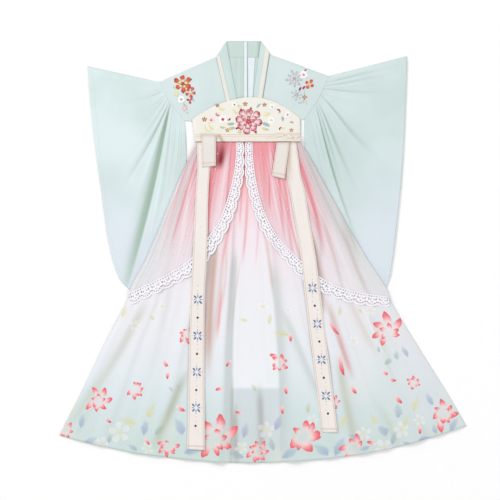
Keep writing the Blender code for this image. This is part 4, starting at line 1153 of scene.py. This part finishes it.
lace_cotton.into("Base Color", lace_cotton.blend(lace_cotton.mark("thick"), seen(234, 231, 237),
                                                 seen(250, 249, 251)))
twist = lace_cotton.noise(lace_cotton.place(), 1500.0)
lace_cotton.into("Normal", lace_cotton.bump(twist, 0.25, 0.1 * MM))


def lace_place(rows, s, t):
    return (mix(rows.read("head_x", s), rows.read("edge_x", s), t),
            mix(rows.read("head_down", s), rows.read("edge_down", s), t))


def even_steps(rows, count):
    """Steps along a lace whose places are evenly spaced, and the lace's length."""
    s = np.linspace(0.0, rows.values[0][-1], 800)
    x, down = lace_place(rows, s, 0.5)
    length = np.concatenate([[0.0], np.cumsum(np.hypot(np.diff(x), np.diff(down)))])
    return np.interp(np.linspace(0.0, length[-1], count + 1), length, s), length[-1]


def spots(table, along, over):
    """Nearness to the middle of the nearest of a table's ovals: 1 at its middle, 0 on its edge."""
    best = np.full(np.broadcast(along, over).shape, -9.0)
    for a, o, long, wide in table.values.T:
        best = np.maximum(best, 1.0 - np.hypot((along - a) / long, (over - o) / wide))
    return best


for side, rows in (("left", LEFT_LACE), ("right", RIGHT_LACE)):
    total = even_steps(rows, 10)[1]
    repeats = round(total / SCALLOP)
    s, total = even_steps(rows, repeats * LACE_COLUMNS)
    part = (np.arange(repeats * LACE_COLUMNS + 1) / LACE_COLUMNS) % 1.0
    bulge = np.sin(math.pi * part) ** 0.55
    over, places = grid(steps(28), s)
    along = (part[:, None] - 0.5) * SCALLOP + 0.0 * over
    foot = 1.0 - (1.0 - bulge[:, None]) * SCALLOP_DEPTH / LACE_WIDTH
    reach = over * mix(1.0, foot, smooth((over - 0.45) / 0.55))
    x, down = lace_place(rows, places, reach)
    depth = over * LACE_WIDTH * (1.0 - LACE_MARGIN / LACE_WIDTH)
    raised = np.clip(spots(SPRIGS, along, depth) * 2.5, 0.0, 1.0)
    cords = (np.exp(-((over - 0.955) / 0.035) ** 2) + 0.7 * np.exp(-((over - 0.03) / 0.03) ** 2)
             + 0.5 * np.exp(-((over - 0.235) / 0.025) ** 2))
    thick = np.clip(raised + cords, 0.0, 1.0)
    middle_along = (along[:-1, :-1] + along[1:, 1:]) / 2.0
    middle_depth = (depth[:-1, :-1] + depth[1:, 1:]) / 2.0
    hole = spots(HOLES, middle_along, middle_depth) > 0.0
    hole |= np.abs(middle_along) > SCALLOP / 2.0 + 1.0
    hole[[0, -1]] = False
    height = bed.under(x, down, 6.0, 6.0) + 0.15
    made = lay(f"lace_{side}_trim", x, down, height, lace_cotton, 0.35 + 0.35 * thick, hole, thick=thick)
    settle(made, f"lace_{side}", (0.034, total * MM),
           0.028 * total * MM)


# Chest panel. A stiffened cream band with an arched top, sewn over the lower edges of the fronts
# and the collar's ends, whose plain back lies under the dress.
ARCH = Rows("across x down", (0, -184, 204), (0.1, -160, 188), (0.2, -130, 171), (0.32, -96, 158),
            (0.42, -66, 150), (0.52, -30, 146), (0.62, -1, 149), (0.72, 29, 158), (0.82, 59, 173),
            (0.92, 89, 194), (1, 97, 202))
PANEL_LEFT = -177.0
PANEL_RIGHT = 98.0
BELT_TOP = 243.0
BELT_FOOT = 262.0
panel_cloth = Finish("chest_satin", roughness=0.6, sheen=0.25)
panel_tone = panel_cloth.noise(panel_cloth.place(), 30.0, 3.0)
panel_cloth.into("Base Color", panel_cloth.blend(panel_tone, seen(232, 229, 220), seen(238, 235, 227)))
weave_bump(panel_cloth, 0.9, 0.5)

u, v = grid(steps(110), steps(44))
x = mix(ARCH.read("x", u), mix(PANEL_LEFT, PANEL_RIGHT, u), v)
down = mix(ARCH.read("down", u), BELT_FOOT, v)
level = mix(3.9, 2.7, smooth((down - 158.0) / 50.0))
rim = smooth(np.minimum(np.minimum(u, 1.0 - u) / 0.03, v / 0.06))
panel = lay("chest_panel_cloth", x, down, level, panel_cloth, 0.8 + 1.3 * rim)
settle(panel, "chest_panel", (0.28, 0.116), 0.027)
top = level + 0.8 + 1.3 * rim
sewn("panel_stitches", [(x[2], down[2], top[2])], cream_thread)
u, v = grid(steps(20), steps(4))
back_of_band = lay("chest_band_back", mix(PANEL_LEFT, PANEL_RIGHT, u), mix(242.5, 262.5, v),
                   np.full_like(u, 0.2), panel_cloth, 0.7)
settle(back_of_band, "back_band", (0.275, 0.020))


# Embroidery on the chest. Satin stitch in cotton floss, worked through the panel alone: a peony
# in the middle among small blossoms, leaves and curls of this dress's own drawing.
FLOSS = {
    "crimson": seen(178, 22, 50), "red": seen(214, 48, 62), "rose": seen(240, 150, 166),
    "blush": seen(250, 224, 228), "white": seen(252, 250, 248), "gold": seen(196, 134, 62),
    "straw": seen(232, 222, 150), "lemon": seen(240, 234, 178), "slate": seen(164, 182, 202),
    "sage": seen(178, 194, 160), "wine": seen(122, 18, 36), "orange": seen(214, 104, 44),
    "rust": seen(176, 84, 40), "scarlet": seen(206, 40, 34),
    "mauve": seen(196, 188, 196), "blue": seen(82, 118, 164), "sky": seen(138, 168, 202),
    "maroon": seen(70, 8, 18), "mist": seen(206, 216, 218), "fog": seen(182, 180, 188)}
thread = Finish("floss", roughness=0.45, sheen=0.3, specular=0.5)
thread.into("Base Color", thread.tint("ground"))
lines_of_thread = (thread.mark("strand") * (2.0 * math.pi)).take("SINE")
thread.into("Normal", thread.bump(lines_of_thread, 0.5, 0.15 * MM))


def satin(name, stitched, rise=0.7, under=None):
    """One mesh of raised satin-stitched shapes. Each is x, down, length, width, turn, bend, point,
    inner floss, outer floss and layer: it starts at a place, runs its length in the turn's
    direction, curving by bend degrees, and is broadest nearer its start where point is below 1."""
    value = np.array([row[:7] for row in stitched], float).T[:, :, None, None]
    start_x, start_down, length, width, turn, bend, point = value
    inner = np.array([FLOSS[row[7]] for row in stitched])[:, None, None, :]
    outer = np.array([FLOSS[row[8]] for row in stitched])[:, None, None, :]
    s = steps(8)[None, :, None]
    w = np.linspace(-1.0, 1.0, 7)[None, None, :]
    turn, bend = np.radians(turn), np.radians(np.where(np.abs(bend) < 1.0, 1.0, bend))
    along_x = length / bend * (np.sin(turn + bend * s) - np.sin(turn))
    along_down = -length / bend * (np.cos(turn + bend * s) - np.cos(turn))
    half = width / 2.0 * np.maximum(np.sin(math.pi * s ** point), 0.0) ** 0.65
    x = start_x + along_x - half * w * np.sin(turn + bend * s)
    down = start_down + along_down + half * w * np.cos(turn + bend * s)
    base = bed.under(x, down, 3.0, 3.0) if under is None else under + 0.0 * x
    layer = np.array([row[9] if len(row) > 9 else 0 for row in stitched])[:, None, None]
    swell = np.sin(math.pi * np.clip(s, 0.04, 0.96)) ** 0.3
    height = base + 0.1 + 0.3 * layer + rise * np.sqrt(1.0 - w * w) * swell
    rim = np.maximum(smooth(s * 2.0 - 0.9), np.abs(w) ** 1.8 * smooth(s * 2.0 - 0.1))
    colour = mix(inner, outer, rim[..., None])
    mesh = patches(name, x, down, height, thread)
    both = np.concatenate([np.broadcast_to(colour, x.shape + (3,)).reshape(-1, 3), np.ones((x.size, 1))], 1)
    mesh.attributes.new("ground", "FLOAT_COLOR", "POINT").data.foreach_set("color", both.ravel())
    strand = (w * width / 2.0 / 0.8 + 0.0 * s).ravel()
    mesh.attributes.new("strand", "FLOAT", "POINT").data.foreach_set("value", strand)


def bloom(x, down, reach, count, turn, width, inner, outer, gap=0.0, point=1.3, layer=0):
    """A ring of petals about a place."""
    for k in range(count):
        angle = turn + 360.0 * k / count
        far = reach * (1.0 + 0.10 * math.sin(2.7 * k + turn))
        yield (x + gap * math.cos(math.radians(angle)), down + gap * math.sin(math.radians(angle)),
               far - gap, width, angle, 0, point, inner, outer, layer)


def daisy(x, down, reach, heart, floss="white"):
    yield from bloom(x, down, reach, 6, 15, reach * 0.75, floss, floss, reach * 0.2)
    yield from bloom(x, down, reach * 0.36, 5, 0, reach * 0.3, heart, heart, 0.0, 1.3, 1)


def star(x, down, reach):
    yield from bloom(x, down, reach, 5, -18, reach * 0.55, "gold", "rust", 0.5)


peony = [*bloom(-38, 208, 34, 8, 8, 19, "blush", "crimson", 12.0, 1.7),
         *bloom(-38, 208, 36, 8, 12, 5, "crimson", "maroon", 30.0, 1.2, 1),
         *bloom(-38, 208, 25, 6, 34, 15, "blush", "crimson", 6.0, 1.7, 1),
         *bloom(-38, 209, 16, 5, 60, 10, "rose", "crimson", 3.0, 1.6, 2),
         *bloom(-37, 210, 8, 5, 20, 5, "red", "maroon", 1.0, 1.3, 3)]
leaves = [(-74, 214, 20, 8, 160, 30, 0.9, "slate", "sage"), (-72, 226, 24, 9, 176, -25, 0.9, "sage", "straw"),
          (-66, 190, 18, 7, 215, 20, 0.9, "straw", "lemon"), (-2, 214, 22, 9, 10, 25, 0.9, "slate", "sage"),
          (-4, 226, 20, 7, 24, -20, 0.9, "straw", "sage"), (0, 194, 20, 8, -28, 25, 0.9, "lemon", "straw"),
          (-16, 174, 15, 6, -60, 30, 0.9, "sage", "slate"), (-56, 176, 14, 6, 235, -30, 0.9, "lemon", "sage"),
          (42, 228, 16, 6, -20, 40, 0.9, "straw", "lemon"),
          (-128, 230, 22, 6, 200, 60, 0.9, "straw", "lemon"),
          (-112, 224, 16, 6, 20, -40, 0.9, "sage", "straw"), (50, 196, 14, 6, 70, 30, 0.9, "slate", "sage"),
          (-98, 178, 18, 6, 170, 50, 0.9, "lemon", "straw")]
curls = [(36, 180, 17, 5, -40, 200, 0.8, "crimson", "mauve"),
         (44, 232, 14, 5, -120, 190, 0.8, "wine", "rose"),
         (-120, 186, 16, 5, 130, -190, 0.8, "rose", "crimson"),
         (70, 214, 12, 4, -80, 170, 0.8, "mauve", "wine"),
         (-150, 222, 26, 4, 100, -150, 0.8, "straw", "lemon"), (-86, 200, 12, 4, 60, 180, 0.8, "wine", "red")]
small = [*daisy(-104, 204, 12, "red"), *daisy(22, 206, 10, "straw"), *daisy(64, 192, 9, "rose"),
         *daisy(-74, 166, 8, "gold"), *daisy(24, 172, 8, "mauve"), *daisy(-134, 206, 9, "gold", "blush"),
         *star(-152, 204, 7), *star(-46, 164, 6.5), *star(4, 166, 6), *star(-118, 168, 5.5),
         *star(74, 232, 5.5), *star(-92, 232, 6), *bloom(-20, 234, 5, 5, 10, 4, "rose", "red"),
         *bloom(-60, 236, 5, 5, 10, 4, "lemon", "gold")]
satin("chest_embroidery", leaves + small + curls + peony)


# Embroidery on the shoulders. A spray of blossoms in the same floss lies along the top of each
# front, warm red on one side and pale grey and rose on the other.
left_spray = [*bloom(-208, 111, 23, 6, 25, 13, "orange", "scarlet", 6.0, 1.8),
              *bloom(-207, 111, 24, 6, 31, 4, "rust", "maroon", 18.0, 1.2, 1),
              *bloom(-208, 111, 14, 5, 60, 9, "lemon", "orange", 3.0, 1.6, 1),
              *bloom(-208, 112, 6, 5, 20, 4, "scarlet", "maroon", 0.5, 1.3, 2),
              *bloom(-188, 134, 14, 5, 10, 9, "orange", "scarlet", 4.0, 1.7, 1),
              *bloom(-188, 134, 5, 4, 40, 4, "lemon", "rose", 0.0, 1.3, 2),
              *daisy(-212, 152, 10, "fog"), *bloom(-225, 138, 7, 5, 0, 4, "lemon", "straw"),
              *bloom(-203, 174, 8, 5, 30, 5, "blush", "rose"),
              *bloom(-190, 155, 10, 3, 200, 6, "red", "crimson"),
              (-206, 162, 16, 4, 60, 30, 0.9, "sage", "slate"),
              (-222, 126, 14, 4, 200, 30, 0.9, "straw", "sage"),
              (-184, 146, 14, 4, 80, -30, 0.9, "slate", "mist"),
              (-199, 183, 7, 3, 50, 30, 0.9, "mist", "slate")]
right_spray = [*bloom(82, 98, 22, 9, 10, 6, "mist", "fog", 7.0, 1.7),
               *bloom(82, 98, 13, 6, 30, 5, "blush", "fog", 3.0, 1.5, 1),
               *bloom(82, 98, 5, 5, 0, 3, "mauve", "fog", 0.5, 1.3, 2),
               *bloom(88, 140, 15, 7, 50, 4, "mist", "fog", 5.0, 1.6),
               *bloom(88, 140, 6, 5, 20, 3, "mauve", "fog", 1.0, 1.3, 1),
               *daisy(106, 88, 11, "rose"), *bloom(121, 112, 13, 4, -60, 9, "orange", "scarlet", 2.0, 1.6),
               *bloom(121, 114, 7, 3, 100, 5, "lemon", "orange", 0.0, 1.3, 1),
               (94, 130, 12, 5, -70, 20, 0.9, "wine", "crimson"),
               (103, 126, 12, 5, -60, 20, 0.9, "wine", "red"),
               *bloom(108, 146, 7, 4, 0, 4, "orange", "rust", 1.0),
               (107, 118, 46, 1.6, 84, 20, 1.0, "mist", "sage"),
               (110, 154, 12, 4, 60, 30, 0.9, "mist", "straw"),
               (102, 156, 12, 4, 130, 30, 0.9, "mist", "slate"),
               (108, 78, 8, 4, -50, 30, 0.9, "wine", "mauve"),
               (128, 100, 8, 3, -20, 20, 0.9, "straw", "lemon")]
satin("left_shoulder_embroidery", left_spray)
satin("right_shoulder_embroidery", right_spray)


# Belt. A folded cream belt crosses the foot of the chest panel. At the right it wraps over itself in a flat
# knot, whose pressed folds carry painted tan shade.
# Tan of painted shade along seams and folds, and brown of painted shadow.
SEAM_SHADE = seen(206, 184, 164)
SHADOW = seen(186, 158, 136)


def band_cloth(name, pale, dark):
    """Plain-woven cotton between two creams, with painted tan shade along its folds, edges and seams, and
    painted shadow where its mark of shading is high.
    """
    finish = Finish(name, roughness=0.6, sheen=0.25)
    drift = finish.noise(finish.stretch(finish.place(), 30.0, 12.0), 1.0, 3.0)
    base = finish.blend(drift, dark, pale)
    base = finish.blend(finish.mark("seam") * 0.8, base, SEAM_SHADE)
    finish.into("Base Color", finish.blend(finish.mark("shaded"), base, SHADOW))
    return weave_bump(finish, 0.9, 0.5)


belt_cloth = band_cloth("cream_belt", seen(237, 229, 218), seen(230, 221, 209))


def strap(name, path, finish, width, thick, crease):
    """A soft double band along a path of rows of x, down and height, with rounded edges and a
    faint crease along it."""
    rows = Rows("step x down height", *[(k, *row) for k, row in enumerate(path)])
    s = np.linspace(0.0, len(path) - 1.0, 12 * (len(path) - 1) + 1)
    x, down, height = (rows.read(key, s) for key in ("x", "down", "height"))
    ahead = np.stack([np.gradient(x), np.gradient(down)])
    ahead /= np.linalg.norm(ahead, axis=0)
    w = np.linspace(-1.0, 1.0, 13)[:, None]
    reach = width / 2.0 * mix(0.92, 1.0, np.sin(math.pi * s / s[-1])) * w
    full = thick * (1.0 - np.abs(w) ** 3) ** 0.6 + 0.25
    full = full * (1.0 - crease * np.exp(-((w - 0.25) / 0.12) ** 2))
    px, pd = x + ahead[1] * reach, down - ahead[0] * reach
    # Painted shade along the rolled edges and the crease.
    seam = np.exp(-((np.abs(w) - 0.97) / 0.16) ** 2) + 0.9 * np.exp(-((w - 0.25) / 0.13) ** 2)
    return lay(name, px, pd, np.maximum(height + 0.0 * w, 0.2), finish, full,
               seam=np.clip(seam + 0.0 * s, 0, 1), shaded=0.0)


belt_level = float(bed.under(-40.0, 252.0, 3.0, 3.0)) + 0.3
u, v = grid(steps(150), steps(12))
x = mix(PANEL_LEFT + 0.5, PANEL_RIGHT - 0.5, u)
dip = 1.2 * np.exp(-((u - 0.62) / 0.05) ** 2) + 0.5 * np.sin(9.0 * u)
down = mix(BELT_TOP, BELT_FOOT, v)
height = bed.under(x, down, 3.0, 3.0) + 0.3
full = 0.5 + 1.3 * np.sin(math.pi * np.clip(v * 0.96 + 0.02, 0, 1)) ** 0.4
full -= 0.4 * np.exp(-((v - 0.32 - 0.04 * dip) / 0.06) ** 2)
# Painted shade along the belt's edges and crease, and painted shadow beside the left tail.
seam = np.exp(-((v - 0.03) / 0.05) ** 2) + 0.6 * np.exp(-((v - 0.32 - 0.04 * dip) / 0.05) ** 2)
seam += 0.5 * np.exp(-((v - 0.97) / 0.04) ** 2)
under_tail = np.exp(-((x + 116.0 - 12.0 * v) / 5.0) ** 2)
belt = lay("belt_cloth", x, down, height, belt_cloth, full, seam=np.clip(seam, 0, 1),
           shaded=0.8 * under_tail)
settle(belt, "belt", (0.28, 0.02), 0.0054)

# Folds of the knot in the order in which they lie: the piece, its node, the cloth below it, its width,
# its thickness, how deep its crease is, its flat size and area, and its path of x, down and height
# over the belt.
KNOT = (
    ("belt_knot_cloth", "belt_knot", "belt_cloth", 10.0, 1.4, 0.35, (0.045, 0.0105), 0.00042,
     [(50, 253, 1.6), (62, 250, 2.6), (76, 247.5, 3.0), (91, 246, 1.6)]),
    ("belt_flap", None, "belt_cloth", 9.0, 1.0, 0.2, (0.052, 0.018), 0.00045,
     [(6, 259, 1.4), (22, 252, 1.8), (38, 246, 1.8), (54, 244, 1.6)]),
    ("belt_loop", None, "belt_knot_cloth", 8.0, 1.4, 0.35, (0.03, 0.016), 0.00025,
     [(66, 242.5, 2.6), (72, 250, 4.2), (76, 259, 3.0), (84, 263, 1.6)]),
    ("belt_hook", None, "belt_knot_cloth", 7.0, 1.2, 0.2, (0.03, 0.014), 0.00022,
     [(74, 262, 1.4), (81, 256, 3.4), (88, 250, 2.6), (95, 244, 1.4)]))
for name, node, below, width, thick, crease, flat, area, path in KNOT:
    path = [(x, down, belt_level + over) for x, down, over in path]
    fold = strap(name, path, belt_cloth, width, thick, crease)
    settle(fold, node, flat, area)


# Ties and ribbons. Two short belt tails and two long ribbons, sewn double, hang over the skirt.
# The ribbons carry a row of eight-petalled stars and dots in blue and dark red.
TAPE = "down left right"
LEFT_RIBBON = Rows(TAPE, (264, -172, -138), (329, -170, -138), (387, -174, -141), (556, -182, -145),
                   (673, -188, -151), (1062, -197, -151))
RIGHT_RIBBON = Rows(TAPE, (264, 66, 87), (300, 62, 92), (350, 62, 99), (387, 69, 109),
                    (470, 83, 122), (556, 98, 137), (595, 102, 142), (1017, 153, 195))
LEFT_TIE = Rows(TAPE, (244, -159, -122), (327, -158, -122))
RIGHT_TIE = Rows(TAPE, (264, 36, 70), (355, 23, 57))
TAPE_HEM = 9.0
TAPE_COLUMNS = 24
SEAM_COLUMN = 2            # the column from each edge along which it is sewn


def lay_tape(name, node, rows, slant, finish, shade=0.0):
    """A double ribbon whose edges are a little thicker, laid over the folds below it."""
    first, last = rows.values[0][0], rows.values[0][-1]
    count = max(int((last - first) / 3.0), 10)
    u, level = grid(steps(TAPE_COLUMNS), np.linspace(first, last, count))
    left, right = rows.read("left", level), rows.read("right", level)
    x = mix(left, right, u)
    end = smooth((level - last + 30.0) / 30.0)
    down = level + slant * (u - 0.5) * end
    held = bed.under(x, down, 18.0, 24.0)
    height = held.max(axis=1, keepdims=True) * 0.6 + held * 0.4 + 0.3
    height = np.broadcast_to(height, x.shape)
    to_side = np.minimum(u, 1.0 - u) * (right - left)
    to_end = last - level
    to_seam = to_side - SEAM_COLUMN / TAPE_COLUMNS * (right - left)
    # Painted shade along the stitched lines and the hem.
    seam = np.exp(-(to_seam / 0.9) ** 2) + np.exp(-((to_end - TAPE_HEM) / 1.0) ** 2)
    seam = np.clip(seam, 0.0, 1.0)
    rounded = smooth(np.minimum(to_side, to_end + 0.3) / 1.5)
    # Painted shadow near the belt, on the ribbon's left side where the tie lies over it.
    near_belt = shade * (1.0 - smooth((level - first - 30.0) / 95.0)) * (1.0 - smooth((u - 0.1) / 0.45))
    near_belt += 0.35 * (1.0 - smooth((level - first) / 10.0))
    full = 0.5 + 0.9 * rounded - 0.35 * seam
    made = lay(name, x, down, height, finish, full, seam=seam, shaded=np.clip(near_belt, 0.0, 1.0))
    placed = x, down, height + full
    lines = [[value[:-3, k] for value in placed] for k in (SEAM_COLUMN, -1 - SEAM_COLUMN)]
    foot = line_at(to_end + 0.0 * u, TAPE_HEM, *placed)
    sewn(f"{name}_stitches", lines + [[value[SEAM_COLUMN:-SEAM_COLUMN] for value in foot]], cream_thread)
    wide = float(np.mean(rows.read("right", level) - rows.read("left", level))) * MM
    return settle(made, node, (wide, (last - first) * MM))


ribbon_cloth = band_cloth("cream_ribbon", seen(240, 233, 228), seen(233, 225, 220))
tie_cloth = band_cloth("cream_tie", seen(232, 225, 219), seen(226, 217, 211))
lay_tape("ribbon_left_cloth", "ribbon_left", LEFT_RIBBON, 2.0, ribbon_cloth)
lay_tape("ribbon_right_cloth", "ribbon_right", RIGHT_RIBBON, 0.0, ribbon_cloth,
         0.8)
lay_tape("tie_left_cloth", "tie_short_left", LEFT_TIE, -4.0, tie_cloth)
lay_tape("tie_right_cloth", "tie_short_right", RIGHT_TIE, 8.0, tie_cloth)


def ornaments(stars, dots):
    for x, down in stars:
        yield from bloom(x, down, 14.5, 4, 45, 4.6, "blue", "blue", 3.6)
        yield from bloom(x, down, 10.5, 4, 0, 3.4, "sky", "blue", 4.6)
        yield from bloom(x, down, 15.5, 4, 0, 2.0, "sky", "sky", 12.6)
        for away in (-36, -23, 23, 36):
            yield (x, down + away - 1.2, 2.4, 1.8, 90, 0, 1.0, "fog", "fog")
    for x, down in dots:
        for turn in (0, 120, 240):
            yield (x - 3.2 * math.cos(math.radians(turn)), down - 3.2 * math.sin(math.radians(turn)),
                   6.4, 5.6, turn, 0, 1.0, "maroon", "maroon")


satin("left_ribbon_stars", list(ornaments([(-169, 672), (-170, 766), (-172, 860), (-174, 953)],
                                          [(-169.5, 719), (-171, 813), (-173, 907), (-175, 1000)])), 0.3)
satin("right_ribbon_stars", list(ornaments([(128.5, 642), (141, 735), (152, 828), (163.5, 922)],
                                           [(134.5, 688), (146.5, 781), (158, 875), (169, 968)])), 0.3)


# Beads. Tiny white pearls glued here and there on the tulle.
BEAD = 1.15
BEAD_COUNT = 92
BEAD_GAP = 24.0
chance = np.random.default_rng(7)
spots_x, spots_down = [], []
while len(spots_x) < BEAD_COUNT:
    across, level = chance.uniform(0.04, 0.96), chance.uniform(275.0, 640.0)
    if 0.42 < across < 0.49:
        continue
    foot = float((LEFT_TULLE if across < 0.45 else RIGHT_TULLE).read("down", across)) - 14.0
    x = float(skirt_x(across, level))
    near = [math.hypot(x - a, level - b) for a, b in zip(spots_x, spots_down)]
    if level < foot and min(near, default=99.0) > BEAD_GAP:
        spots_x.append(x)
        spots_down.append(level)
spots_x, spots_down = np.array(spots_x), np.array(spots_down)
turn, tilt = np.meshgrid(steps(10)[:-1] * 2.0 * math.pi, np.linspace(-1.4, math.pi / 2, 7))
ball = np.stack([np.cos(tilt) * np.cos(turn), np.cos(tilt) * np.sin(turn), np.sin(tilt)], -1) * BEAD
level = bed.under(spots_x, spots_down, 3.0, 3.0) + 0.6 * BEAD
middles = np.stack([spots_x, LENGTH / 2 - spots_down, level], -1)
points = (middles[:, None, None, :] + ball[None]).reshape(-1, 3) * MM
number = np.arange(len(points)).reshape(len(middles), *ball.shape[:2])
ring = np.roll(number, -1, axis=2)
quads = np.stack([number[:, :-1], ring[:, :-1], ring[:, 1:], number[:, 1:]], -1).reshape(-1, 4)
mesh = bpy.data.meshes.new("beads")
mesh.from_pydata(points.tolist(), [], quads.tolist())
mesh.polygons.foreach_set("use_smooth", np.ones(len(quads), bool))
pearl = Finish("pearl", roughness=0.25, sheen=0.0, specular=0.6)
pearl_tone = pearl.noise(pearl.place(), 300.0)
pearl.into("Base Color", pearl.blend(pearl_tone, seen(250, 246, 248), seen(255, 254, 252)))
mesh.materials.append(pearl.material)
beads = bpy.data.objects.new("beads", mesh)
bpy.context.scene.collection.objects.link(beads)
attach(beads, "root")
